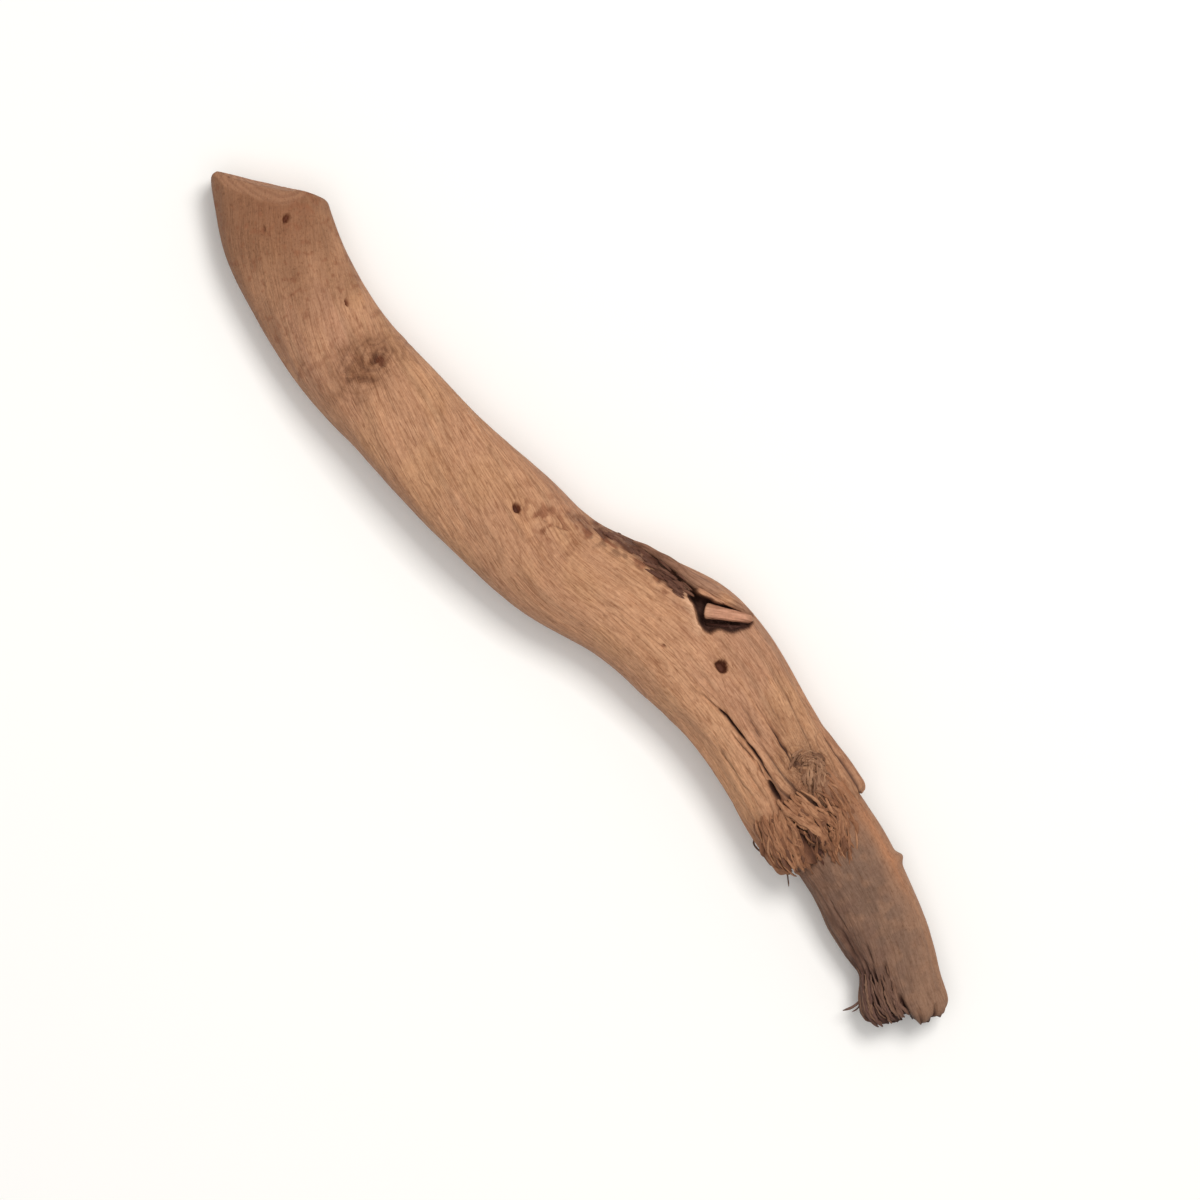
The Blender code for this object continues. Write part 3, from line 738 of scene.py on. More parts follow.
class Piece:
    """Points and faces of one piece of the root."""

    def __init__(self):
        self.points, self.faces, self.count = [], [], 0
        self.values = {key: [] for key in ATTRIBUTES}

    def put(self, points, **values):
        """More points. A value is given for each point or once for all, and is 0 where it isn't given."""
        points = np.reshape(points, (-1, 3))
        for key, size in ATTRIBUTES.items():
            value = np.reshape(values.get(key, np.zeros(size)), (-1, size))
            self.values[key].append(np.broadcast_to(value, (len(points), size)))
        self.points.append(points)
        self.count += len(points)

    def finish(self, name, sharp=None):
        """The mesh. sharp is the angle in degrees from which its edges stay hard."""
        mesh = bpy.data.meshes.new(name)
        mesh.from_pydata(to_row(on_floor(np.concatenate(self.points))).tolist(), [], self.faces)
        for key, size in ATTRIBUTES.items():
            kind, field = ("FLOAT_VECTOR", "vector") if size == 3 else ("FLOAT", "value")
            value = np.concatenate(self.values[key]).astype(np.float32)
            mesh.attributes.new(key, kind, "POINT").data.foreach_set(field, value.ravel())
        mesh.materials.append(WOOD)
        mesh.shade_smooth()
        if sharp:
            mesh.set_sharp_from_angle(angle=math.radians(sharp))
        mesh.update()
        obj = bpy.data.objects.new(name, mesh)
        bpy.context.scene.collection.objects.link(obj)
        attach(obj, "root")
        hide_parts(NODE)


def ring_faces(rows, columns, offset=0):
    """Quads between rows of points that close round the root."""
    faces = []
    for r in range(rows - 1):
        low, high = offset + r * columns, offset + (r + 1) * columns
        for c in range(columns):
            d = (c + 1) % columns
            faces.append((low + c, low + d, high + d, high + c))
    return faces


def fan(ring, hub, forwards):
    """Triangles that close a ring of points with a hub."""
    faces = []
    for c, here in enumerate(ring):
        there = ring[(c + 1) % len(ring)]
        faces.append((here, there, hub) if forwards else (there, here, hub))
    return faces


def grain_place(along, round_share, radius=GRAIN_RADIUS):
    """Place in the wood's pattern, in mm: along the grain, and round it without a seam."""
    turn = round_share * TAU
    return np.stack([along + 0 * turn, radius * np.cos(turn), radius * np.sin(turn)], axis=-1)


def saw_start(angle):
    """Where each line of the trunk meets the saw cut."""
    low, high = (np.full(angle.shape, limit) for limit in SAW_REACH)
    for _ in range(40):
        middle = (low + high) / 2
        points, _ = skin(TRUNK, middle, angle)
        beyond = (points - SAW_POINT) @ SAW_NORMAL > 0
        low = np.where(beyond, middle, low)
        high = np.where(beyond, high, middle)
    return (low + high) / 2


def column_angles():
    """Angles of the trunk's lines, closer together on the upper side and along the main crack."""
    fine = np.linspace(0, TAU, 2001)
    weight = 0.40 + 0.70 * rise(np.sin(fine), -0.6, 0.0) + 0.8 * turned_to(fine, 108, 8)
    total = np.concatenate([[0], np.cumsum((weight[1:] + weight[:-1]) / 2)])
    return np.interp(np.arange(TRUNK_COLUMNS) / TRUNK_COLUMNS, total / total[-1], fine)


class Trunk:
    """The outer layer, from the saw cut to the torn edge."""

    def __init__(self):
        self.line = column_angles() / TAU
        angle = (self.line * TAU)[None, :]
        ragged = turned_to(angle, 125, 45)
        still = np.zeros_like(self.line)
        jag = streaks(still, self.line, 1.0, 74, 11) * (0.35 + 1.7 * ragged)
        jag += streaks(still, self.line, 1.0, 23, 12) * (0.25 + 1.4 * ragged)
        lobe = 1 - (np.clip(np.abs((np.degrees(angle) + 178) % 360 - 180) / 17, 0, 1)) ** 2
        self.end = torn_edge(angle) + jag + 4.0 * merging(angle) + 0.9 * (lobe - 1) * turned_to(angle, 0, 20)
        self.start = saw_start(angle)
        step = np.linspace(0, 1, TRUNK_ROWS)[:, None]
        self.along = self.start + (self.end - self.start) * (1.25 * step - 0.25 * step**2)
        self.angle = angle + 0 * self.along
        self.share = (self.angle - winding(self.along)) / TAU
        self.points, self.centre = skin(TRUNK, self.along, self.angle)
        self.x, self.y = self.points[..., 0].copy(), self.points[..., 1].copy()
        self.upper = rise(np.sin(self.angle), -0.15, 0.15)
        self.outward = unit(self.points - self.centre)
        self.find_regions()
        self.carve()
        self.colour()

    def find_regions(self):
        """Shares from 0 to 1 of the knot, the swirl, the torn zone and the bark crease."""
        x, y, along = self.x, self.y, self.along
        dy = y - KNOT[1]
        knot_away = np.hypot((x - KNOT[0]) * 0.8, dy)
        wobble = 0.25 * speckle(x, y, 2.0, 48)
        stain_away = np.hypot((x - STAIN[0]) / 5.4, (y - STAIN[1]) / 9.2) + wobble
        self.stain = np.exp(-(np.clip(stain_away, 0, None) ** 3)) * self.upper
        ring = np.hypot(x - 44.5, 0.5 * (y + 4.0))
        self.wrinkle = np.sin(4.6 * ring + 2.8 * speckle(x, y, 2.2, 35) + 1.2 * speckle(x, y, 0.9, 58))
        self.swirl_away = np.hypot((x - SWIRL[0]) * 0.8, y - SWIRL[1])
        self.swirl = bell(self.swirl_away, 4.4) * self.upper
        self.rough = rise(along, 142, 170)
        side = np.tanh((y - 6.4) / 1.5) * bell(y - 6.4, 9.0) * self.upper
        splay = 0.26 * np.clip(x - 171, 0, 20) * side
        swerve = 0.45 * dy * bell(knot_away, 6.0) * self.upper
        curl = 1.6 * self.swirl * speckle(x, y, 2.6, 33)
        self.flow = self.share + (splay - swerve + curl) / GIRTH
        torn = rise(along, self.end - 17, self.end - 4)
        self.torn = torn * (0.12 + 0.88 * turned_to(self.angle, 122, 48)) * (1 - 0.8 * merging(self.angle))
        self.crease_away, self.crease_share = from_path(x, y, CREASE)
        self.crease_width = from_table(CREASE_WIDTHS, self.crease_share)
        self.crease = np.exp(-((self.crease_away / self.crease_width) ** 3)) * self.upper
        self.furrow = furrows(along, self.flow, 12, 31, 28, 2.6)
        self.groove = furrows(along, self.flow, 26, 25, 25, 6)

    def relief(self):
        """Relief of the wood, outwards from the solid's form, in mm."""
        along, flow, x, y = self.along, self.flow, self.x, self.y
        lift = 0.30 * streaks(along, flow, 26, 5, 21)
        for height, length, wrap, seed, rougher in (
            (0.13, 30, 19, 22, 1.0),
            (0.07, 13, 41, 23, 1.8),
            (0.05, 6, 83, 24, 1.4),
        ):
            lift += height * streaks(along, flow, length, wrap, seed) * (1 + rougher * self.rough)
        self.grooved = self.rough * (0.3 + 0.9 * rise(y, 4.5, 9.0)) * (0.4 + 0.6 * self.upper)
        lift -= 0.75 * self.grooved * self.groove
        lift -= 0.22 * self.grooved * furrows(along, flow, 11, 47, 36, 4)
        scattered = rise(streaks(along, flow, 30, 9, 27), 0.1, 0.6)
        self.checks = furrows(along, flow, 15, 33, 26, 7) * scattered
        lift -= 0.12 * self.checks
        lift -= 1.15 * self.torn * self.furrow
        lift += 0.45 * self.torn * streaks(along, flow, 5, 62, 29)
        curls = np.sin(self.swirl_away * 1.4 + 6.0 * speckle(x, y, 2.1, 34))
        lift += self.swirl * (0.22 * curls + 0.10)
        lift += self.stain * 0.13 * self.wrinkle
        self.pitted = bell(np.hypot((x - 95) * 0.55, y - 3.6), 4.5) * self.upper
        self.pitted *= rise(speckle(x, y, 1.2, 45), 0.0, 0.55)
        lift -= 0.4 * self.pitted
        self.opened = crack_depth(x, y, CRACKS) * self.upper
        self.gaps = crack_depth(x, y, TORN_GAPS) * self.upper
        self.pits = pit_depth(x, y) * self.upper
        return lift - (self.opened + self.gaps + self.pits)

    def carve(self):
        """The skin with its relief, its rounded ends, the crease, the hollow and the saw cut."""
        along, x, y = self.along, self.x, self.y
        lift = self.relief()
        # The rim of the saw cut is worn round, most at the acute corner
        from_saw = along - self.start
        worn_round = 1.1 + 0.8 * turned_to(self.angle, 180, 48) + 0.5 * turned_to(self.angle, 10, 30)
        lift = lift * rise(from_saw, 0.0, 2.0) - worn_round * rounding(from_saw, 1.25 * worn_round)
        # The torn edge is rounded over, most at the lobe on the right
        lobe = turned_to(self.angle, 0, 25)
        lift = lift - (0.8 + 0.8 * lobe) * rounding(self.end - along, 1.4 + 1.0 * lobe)

        # On the upper right the layer runs out on to the core
        near_end = np.clip(1 - (self.end - along) / 27, 0, 1)
        onto_core = merging(self.angle) * near_end**2 * (3 - 2 * near_end)
        on_core, _ = skin(CORE, np.maximum(along, CORE_FORM_START), self.angle)
        points = self.points * (1 - onto_core[..., None]) + on_core * onto_core[..., None]
        lift = lift - 0.5 * onto_core**6
        points = points + self.outward * lift[..., None]

        # The bark crease is a groove with an uneven floor
        drop = from_table(CREASE_DROPS, self.crease_share) + 0.9 * speckle(x, y, 1.0, 37)
        lowest = np.minimum(points[..., 2], CREASE_FLOOR)
        points[..., 2] = np.maximum(points[..., 2] - self.crease * drop, lowest)

        # The hollow's walls fall to an uneven floor, and its left edge stands up a little
        x, y = points[..., 0], points[..., 1]
        wobble_x = x + 0.35 * speckle(x, y, 1.6, 38)
        wobble_y = y + 0.35 * speckle(x, y, 1.6, 39)
        self.in_hollow = inside(wobble_x, wobble_y, HOLLOW_OUTLINE) & (np.sin(self.angle) > -0.1)
        self.wall_away, _ = from_path(wobble_x, wobble_y, HOLLOW_OUTLINE + HOLLOW_OUTLINE[:1])
        sunk = rise(np.where(self.in_hollow, self.wall_away, 0), 0.0, 1.3)
        floor = HOLLOW_FLOOR + 1.1 * speckle(x, y, 1.3, 31) + 0.25 * (x - 131)
        points[..., 2] += np.minimum(floor - points[..., 2], 0) * sunk
        lip = bell(self.wall_away, 1) * (~self.in_hollow) * self.upper * (y < 18.5)
        points = points + self.outward * (0.45 * lip)[..., None]

        beyond = np.maximum((points - SAW_POINT) @ SAW_NORMAL, 0)
        points = points - beyond[..., None] * SAW_NORMAL
        self.points, self.worn = worn_bevel(rounded_corner(points))

    def colour(self):
        """Regional colours, among them painted shade and a painted highlight; how much painted shade darkens
        the cracks and hollows; and how worn and how wrinkled the surface is.
        """
        along, flow, x, y, angle, upper = self.along, self.flow, self.x, self.y, self.angle, self.upper
        dull_end = 1 - rise(x + 8 * streaks(along, flow, 9, 17, 42), 6, 38)
        tone = blend(
            TAN,
            OCHRE, 0.35 * rise(streaks(along, flow, 10, 13, 41), -0.1, 0.6),
            PINK_TAN, 0.6 * rise(streaks(along, flow, 16, 9, 49), 0.0, 0.6),
            LIGHT_TAN, 0.35 * rise(streaks(along, flow, 9, 43, 50), 0.1, 0.8),
            DULL, 0.3 * rise(streaks(along, flow, 13, 61, 54), 0.1, 0.8),
            LIGHT_TAN, 0.5 * spot(x, y, (128, 7), (15, 9)),
            END_TAN, 0.85 * dull_end,
            FLECK, 0.35 * spot(x, y, (6, -3), (9, 7)) * upper,
            LIGHT_TAN, 0.65 * spot(x, y, (158, 2.5), (17, 4.5)) * upper,
            # The left flank is painted greyer and darker: partly a grey tint, partly painted shade
            FLANK_GREY_AND_SHADE, 0.35 * turned_to(angle, 184, 34) * (1 - self.rough),
            # The underside is painted darker: painted shade
            UNDERSIDE_SHADE, 0.6 * turned_to(angle, 270, 62),
        )

        # The knot with its stain, the pitted band, and red specks beside the crease
        spots = rise(speckle(x, y, 1.5, 43), -0.5, 0.6)
        heart = spot(x, y, (44.6, -3.9), (1.5, 3.2)) * upper
        reddish = rise(x, 94, 102) * (1 - rise(self.crease_away, 1.5, 5.5)) * (y < 19) * upper
        tone = blend(
            tone,
            KNOT_BROWN, self.stain * (0.40 + 0.50 * spots),
            KNOT_DARK, 0.42 * self.stain * rise(-self.wrinkle, 0.1, 0.9),
            KNOT_DARK, heart * (0.1 + 0.5 * rise(speckle(x, y, 1.0, 44), -0.4, 0.5)),
            FLECK, 0.9 * self.pitted,
            FLECK, reddish * rise(streaks(along, flow, 2.0, 71, 55), 0.0, 0.5),
            KNOT_DARK, 0.6 * reddish * rise(speckle(x, y, 1.1, 48), 0.1, 0.55),
        )

        # The crease, the swirl, the torn zone, the hollow, and worn specks near the saw cut, with painted
        # shade in the hollow and in the torn zone's deepest gap, and a painted highlight on the hollow's
        # near rim
        strength = from_table(CREASE_DARKNESS, self.crease_share)
        broad = np.exp(-((self.crease_away / (self.crease_width * 1.1)) ** 4)) * upper
        swirl_stain = bell(self.swirl_away, 5.6) * upper
        # Painted shadow in the deep gap of the torn zone
        deep_gap_shadow = spot(x, y, (187, 5.2), (4.5, 2.8)) * upper
        near_end = np.clip(1 - (self.end - along) / 9, 0, 1)
        in_wall = rise(np.where(self.in_hollow, self.wall_away, 0), 0.0, 0.8)
        lip = bell(self.wall_away, 1.2) * (~self.in_hollow) * upper
        worn_spots = spot(x, y, (6.5, 4.5), (4.2, 3.5)) * upper
        flecks = rise(speckle(x, y, 0.95, 56), 0.45, 0.8) * (1 - rise(x, 24, 60)) * upper
        self.tone = blend(
            tone,
            BARK, broad * strength * (0.9 + 0.35 * speckle(x, y, 1.0, 46)),
            SWIRL_GREY, 0.85 * swirl_stain,
            TORN_TAN, 1.1 * self.torn,
            TORN_BROWN, self.torn * (0.25 + 0.75 * self.furrow),
            TORN_DARK, 0.6 * deep_gap_shadow,
            CORE_TAN, merging(angle) * near_end,
            # The hollow's walls and floor are painted dark brown: partly the floor's reddish brown, partly
            # painted shade
            HOLLOW_BROWN_AND_SHADE, in_wall,
            # A painted highlight along the hollow's near rim
            PALE_RIM_HIGHLIGHT, 0.8 * lip * (y < 18.8) * (1 - rise(x, 133, 136)),
            FLECK, 0.9 * worn_spots * rise(speckle(x, y, 1.1, 47), -0.2, 0.5),
            FLECK, 0.55 * flecks,
            PIT_BROWN, rise(self.pits, 0.1, 0.9),
        )
        # Painted shade in the cracks, pits, checks, torn gaps, crease, hollow, torn furrows and grooves
        crevice = 0.95 * rise(self.opened, 0.1, 1.5) * (1 - 0.25 * self.stain)
        crevice = crevice + 0.45 * rise(self.pits, 0.5, 2.0) + 0.25 * self.checks
        crevice += 0.8 * rise(self.gaps, 0.2, 2.4) + 0.30 * self.crease * strength + 0.10 * in_wall
        crevice += 0.5 * self.torn * rise(self.furrow, 0.45, 1.0)
        crevice += 0.60 * self.grooved * rise(self.groove, 0.4, 1.0)
        self.crevice = np.clip(crevice, 0, 1)
        self.worn_wood = np.clip(0.6 * dull_end + 0.2 - 0.15 * rise(x, 40, 60) + 0.3 * swirl_stain, 0, 1)
        self.curly = np.clip(0.3 * self.stain + 1.0 * swirl_stain * (1 - 0.5 * self.torn), 0, 1)

    def build(self):
        line, columns = self.line, TRUNK_COLUMNS
        pith = SAW_POINT + PITH_OFFSET
        pith = pith - ((pith - SAW_POINT) @ SAW_NORMAL) * SAW_NORMAL

        # On the worn bevel the grain is cut at a slant, so it shows rings too
        offset = self.points - pith
        from_pith = np.linalg.norm(offset - (offset @ PITH_AXIS)[..., None] * PITH_AXIS, axis=-1)
        bevel = rise(self.worn, 0.1, 0.9) * 0.6
        first_rows = rise(0.5 - (self.along - self.start), 0, 0.5) * 0.8
        piece = Piece()
        piece.put(
            self.points, grain=grain_place(self.along, self.flow), tone=self.tone, crevice=self.crevice,
            worn=self.worn_wood, curly=self.curly, cut=np.maximum(bevel, first_rows), rings=from_pith,
        )

        # The torn lip turns in and runs back under the layer, so that the edge has a thickness; the further
        # back a row lies, the more painted shade darkens it, most at the hub that closes it
        last, heart = self.points[-1], self.centre[-1]
        lip_tone = blend(self.tone[-1], TORN_BROWN, 0.5)
        for back, depth in TORN_LIP:
            lip = last + (heart - last) * depth - ALONG * back
            dark = min(0.95, 0.25 + 0.5 * max(back, 0))
            piece.put(lip, grain=grain_place(self.end - back, line[None]), tone=lip_tone, crevice=dark)

        # On the saw cut rings of points shrink to the pith, with painted shade in its radial checks
        spokes = furrows(np.zeros_like(line), line, 1.0, 13, 51, 14)
        for k in range(1, CAP_ROWS):
            out = (1 - k / CAP_ROWS) ** 0.9
            flat = pith + (self.points[0] - pith) * out
            check = spokes * (1 - out) * out * 3
            marks = 0.05 * np.sin(flat @ SAW_MARKS)
            ring = flat + SAW_NORMAL * (marks - 0.5 * check)[:, None]
            away = np.linalg.norm(flat - pith, axis=-1)
            piece.put(ring, tone=TORN_BROWN, crevice=0.6 * check, cut=1.0, rings=away)
        piece.put(lip.mean(axis=0) - 3.0 * ALONG, tone=TORN_BROWN, crevice=0.9)
        piece.put(pith, tone=TORN_BROWN, crevice=0.3, cut=1.0)

        body_rows = TRUNK_ROWS + len(TORN_LIP)
        rings = [range(r * columns, (r + 1) * columns) for r in range(body_rows + CAP_ROWS - 1)]
        piece.faces = ring_faces(body_rows, columns) + fan(rings[body_rows - 1], piece.count - 2, True)
        outer = rings[0]
        for inner in rings[body_rows:]:
            for c in range(columns):
                d = (c + 1) % columns
                piece.faces.append((outer[c], inner[c], inner[d], outer[d]))
            outer = inner
        piece.faces += fan(outer, piece.count - 1, False)
        piece.finish("trunk")


def tip_end(angle):
    """Where the core's lines end, by how far to the side they are."""
    side = TIP_HALF_WIDTH * np.cos(angle)
    return from_table(TIP_OUTLINE, side) - TIP_SLANT * side


def left_edge(x, angle):
    """Lift in mm by which the left edge draws in to a neck and flares again at the tip."""
    shape = 0.5 * bell(x - 202, 4.5) - 1.75 * bell(x - 213.8, 3.3)
    shape += 0.95 * bell(x - 222.2, 2.8)
    return shape * turned_to(angle, 180, 42)


def core():
    """The bared inner wood, from under the torn layer to the frayed tip."""
    line = np.arange(CORE_COLUMNS) / CORE_COLUMNS
    angle_line = (line * TAU)[None, :]
    still = np.zeros_like(line)
    under = 1 - rise(np.sin(angle_line), -0.3, 0.3)
    jag = 0.5 * streaks(still, line, 1.0, 37, 52) + 0.45 * streaks(still, line, 1.0, 90, 53)
    ragged = 0.55 + 0.4 * turned_to(angle_line, 150, 40) + 1.1 * under
    end = tip_end(angle_line) + jag * ragged - 1.4 * under
    step = np.linspace(0, 1, CORE_ROWS)[:, None]
    along = CORE_START + (end - CORE_START) * (1.2 * step - 0.2 * step**2)
    share = line[None, :] + 0.004 * np.sin(along / 9)
    angle = share * TAU
    points, centre = skin(CORE, along, angle)
    x, y = points[..., 0], points[..., 1]
    upper = rise(np.sin(angle), -0.15, 0.15)
    tip = rise(along, end - 19, end - 5)
    left = turned_to(angle, 150, 42)
    frayed = tip * np.maximum(left, 0.8 * (1 - upper))
    lift = 0.20 * streaks(along, share, 24, 7, 61)
    lift += 0.12 * streaks(along, share, 12, 23, 62) * (1 + 0.9 * left)
    lift += 0.08 * streaks(along, share, 6, 47, 63)
    lift += 0.055 * streaks(along, share, 3.2, 93, 64)
    fine = furrows(along, share, 8, 43, 65, 5)
    lift -= 0.15 * fine
    bent = share + 0.010 * tip * speckle(x, y, 3.0, 69)
    gaps = furrows(along, bent, 12, 23, 66, 4)
    small_gaps = furrows(along, bent, 6, 47, 67, 3)
    lift -= frayed * (0.7 * gaps + 0.6 * small_gaps)
    ridged = furrows(along, share, 22, 21, 68, 4) * left * rise(along, 186, 204)
    lift -= 0.45 * ridged
    opened = crack_depth(x, y, TIP_GAPS) * upper
    lift -= opened
    lift += left_edge(x, angle)
    lift += spot(x, y, (199.1, 19.6), (1.2, 1.6))
    lift = lift - 1.7 * rounding(end - along, 2.6)
    points = points + unit(points - centre) * lift[..., None]

    mottled = speckle(x, y, 2.6, 71)
    tone = blend(
        CORE_GREY,
        CORE_TAN, 0.8 * rise(speckle(x, y, 1.7, 72), -0.2, 0.7),
        CORE_LEFT, 0.6 * left + 0.4 * rise(mottled, 0, 0.8),
        CORE_FLANK, 0.85 * turned_to(angle, 14, 32),
        CORE_ORANGE, 0.8 * turned_to(angle, 36, 11) * (1 - rise(along, 193, 212)),
        # The underside is painted darker: painted shade
        UNDERSIDE_SHADE, 0.5 * turned_to(angle, 270, 60),
        CORE_TAN, 0.7 * tip * turned_to(angle, 50, 38),
        TIP_BROWN, 0.85 * frayed,
        TORN_TAN, 0.5 * (1 - rise(along, 180, 195)) * upper,
    )
    # Painted shade in the tip's gaps, furrows and ridges, and towards its broken end
    crevice = 0.85 * rise(opened, 0.15, 1.7) + frayed * (0.5 * gaps + 0.45 * small_gaps) + 0.12 * fine
    crevice += 0.5 * ridged + 0.25 * rise(np.clip(1 - (end - along) / 2.6, 0, 1), 0.3, 1.0)
    worn = np.clip(0.62 - 0.4 * left - 0.2 * tip, 0, 1)
    grain = grain_place(along, share, CORE_GRAIN_RADIUS)
    piece = Piece()
    piece.put(points, grain=grain, tone=tone, crevice=np.clip(crevice, 0, 1), worn=worn)
    # The rows that close the broken end get more painted shade the deeper they lie, and the hubs get the
    # most
    for k, (inward, back) in enumerate(BROKEN_END):
        ragged = 1.3 * streaks(np.full_like(line, k * 3.7), line, 1.0, 30 - 4 * k, 81 + k)
        ring = points[-1] + (centre[-1] - points[-1]) * inward
        ring = ring - ALONG * (back + ragged)[:, None]
        grain = grain_place(end + 3 * k, line[None], CORE_GRAIN_RADIUS - 1.6 * k)
        piece.put(ring, grain=grain, tone=TIP_BROWN, crevice=0.5 + 0.08 * k)
    piece.put((points[0].mean(axis=0), ring.mean(axis=0) - ALONG), tone=TIP_BROWN, crevice=0.9)
    total = CORE_ROWS + len(BROKEN_END)
    piece.faces = ring_faces(total, CORE_COLUMNS) + fan(range(CORE_COLUMNS), piece.count - 2, False)
    piece.faces += fan(range((total - 1) * CORE_COLUMNS, total * CORE_COLUMNS), piece.count - 1, True)
    piece.finish("core")


def lengths_along(path):
    """How far along a path each of its points lies."""
    return np.concatenate([[0], np.cumsum(np.linalg.norm(np.diff(path, axis=0), axis=1))])


class Strands(Piece):
    """Tapered strands of wood gathered into one piece."""

    def add(self, path, radii, sides, flat, tone, dark=0.0, bumps=0.0, angular=0.0, worn=0.0):
        """One strand along a path. flat is its thickness over its width, dark how far painted shade
        darkens it, bumps its relief in mm, angular how far its section is from round, and worn how far
        its fibres are worn off."""
        path, radii = np.array(path, float), np.array(radii, float)[:, None]
        rows = len(path)
        heading = unit(np.gradient(path, axis=0))
        side = unit(np.cross((0.0, 0.0, 1.0), heading))
        up = np.cross(heading, side)
        length = lengths_along(path)[:, None]
        share = (np.arange(sides) / sides)[None, :]
        turn = TAU * share
        number = len(self.points)
        relief = bumps * (
            0.6 * streaks(length, share, 5, max(5, sides // 4), 101 + number % 7)
            + 0.4 * streaks(length, share, 3, max(5, sides // 2), 111 + number % 7)
        )
        corners = 0.7 * np.cos(2 * turn + 1.7 * number) + 0.5 * np.cos(3 * turn + 2.9 * number)
        size = (radii + relief * (radii > 0.3)) * (1 + angular * corners)
        ring = (
            path[:, None, :]
            + side[:, None, :] * (np.cos(turn) * size)[..., None]
            + up[:, None, :] * (np.sin(turn) * size * flat)[..., None]
        )
        along = length + 37.0 * number + 0 * turn
        grain = np.stack([along, 5.1 * number + radii * np.cos(turn), radii * np.sin(turn)], axis=-1)
        tone = np.repeat(np.broadcast_to(tone, (rows, 3)), sides, axis=0)
        first, last = self.count, self.count + (rows - 1) * sides
        self.faces += ring_faces(rows, sides, first)
        self.faces.append(tuple(first + k for k in reversed(range(sides))))
        self.faces.append(tuple(last + k for k in range(sides)))
        self.put(ring, grain=grain, tone=tone, crevice=dark, worn=worn)


def smooth_path(path, steps):
    """A curve through a few points, as evenly spread points."""
    path = np.array(path, float)
    length = lengths_along(path)
    stations = [(d, *p) for d, p in zip(length, path)]
    where = np.linspace(0, length[-1], steps)
    return np.stack([through(stations, k, where) for k in range(1, path.shape[1] + 1)], axis=-1)


def lying(x, y, lift):
    """Points that lie over the root at places in plan, on the torn layer or past it on the core."""
    along, angle, on_layer, outward = on_top(TRUNK, x, y)
    _, _, on_core, _ = on_top(CORE, np.maximum(x, CORE_FORM_START), y)
    edge = torn_edge(angle)
    down = np.maximum(rise(along, edge - 1.5, edge + 4.0), merging(angle) * rise(along, edge - 20, edge))
    points = on_layer * (1 - down)[..., None] + on_core * down[..., None]
    return points + outward * lift[..., None]


# Chunky strands of the torn zone: path in plan, radius, height over the skin, and shade
TORN_STRANDS = (
    (((172.6, 5.9), (175.7, 6.3), (179.3, 7.5), (182.6, 8.6), (186.4, 9.4)), 0.60, 0.50, -0.5),
    (((173.8, 9.2), (176.6, 10.6), (179.6, 11.0), (182.4, 12.0)), 0.50, 0.30, -0.4),
    (((177.0, 9.3), (180.5, 10.1), (184.0, 10.0), (187.4, 9.3)), 0.42, 0.25, 0.2),
    (((180.6, 12.1), (184.2, 12.7), (187.4, 11.3), (190.3, 8.6)), 0.42, 0.25, 0.0),
    (
        ((180.2, 12.2), (181.2, 13.8), (183.5, 14.2), (186.0, 13.2), (188.9, 11.4), (191.4, 9.2)),
        0.38, 0.20, 0.3,
    ),
    (((184.0, 15.9), (187.8, 13.9), (190.7, 12.0), (193.6, 9.8)), 0.34, 0.12, 0.2),
    (((178.6, 11.6), (181.6, 12.5), (183.9, 11.9)), 0.34, 0.3, -0.2),
    (((174.6, 5.0), (178.5, 3.5), (181.9, 2.8), (185.0, 2.0), (188.6, 0.9)), 0.52, 0.2, -0.3),
    (((175.0, 2.4), (179.5, 1.3), (183.6, 0.7), (188.6, -0.3)), 0.46, 0.12, -0.2),
    (((176.0, 0.4), (180.5, -0.5), (184.6, -1.0), (188.4, -1.5)), 0.42, 0.1, -0.1),
    (((178.8, 4.6), (182.6, 4.0), (186.2, 3.2), (190.2, 2.2)), 0.44, 0.1, 0.3),
    (((181.5, 5.5), (184.6, 5.5), (187.6, 5.8), (190.6, 5.4)), 0.40, -0.3, 0.9),
    (((184.8, 8.6), (188.0, 8.4), (191.6, 7.6)), 0.36, 0.1, 0.4),
    (((176.6, 14.2), (179.8, 15.4), (183.4, 15.8), (187.4, 14.9)), 0.36, 0.15, 0.2),
    (((174.0, 17.6), (178.6, 18.0), (183.2, 17.2), (188.2, 15.9)), 0.34, 0.1, 0.0),
)
# Groups of torn fibres: how many, where they spring from along and across, slope at both sides, and
# the lowest and highest length, radius and shade
TORN_GROUPS = (
    (30, (173, 179), (-1.6, 5.6), (-0.16, -0.34), (5, 9), (0.30, 0.56), (-0.6, 0.4)),
    (20, (179, 184), (-2.0, 5.4), (-0.10, -0.30), (3, 6), (0.22, 0.44), (-0.4, 0.8)),
    (26, (173, 179), (5.6, 11.5), (0.10, 0.34), (4, 8), (0.26, 0.52), (-0.7, 0.4)),
    (22, (180, 186), (3.6, 9.6), (-0.25, 0.25), (2.5, 5), (0.20, 0.42), (-0.2, 1.0)),
    (34, (181, 188), (8.5, 16.5), (-0.15, -0.55), (3, 7), (0.18, 0.40), (-0.5, 0.8)),
    (14, (174, 181), (12.5, 18.5), (0.10, -0.20), (4, 8), (0.18, 0.34), (-0.5, 0.5)),
    (60, (174, 187), (0.0, 12.5), (-0.7, 0.7), (1.2, 2.8), (0.20, 0.42), (-0.7, 0.8)),
)


def shade_of(value, light, middle, dark):
    """A colour from light at -1 through middle at 0 to dark at 1."""
    return blend(middle, dark if value > 0 else light, abs(value))


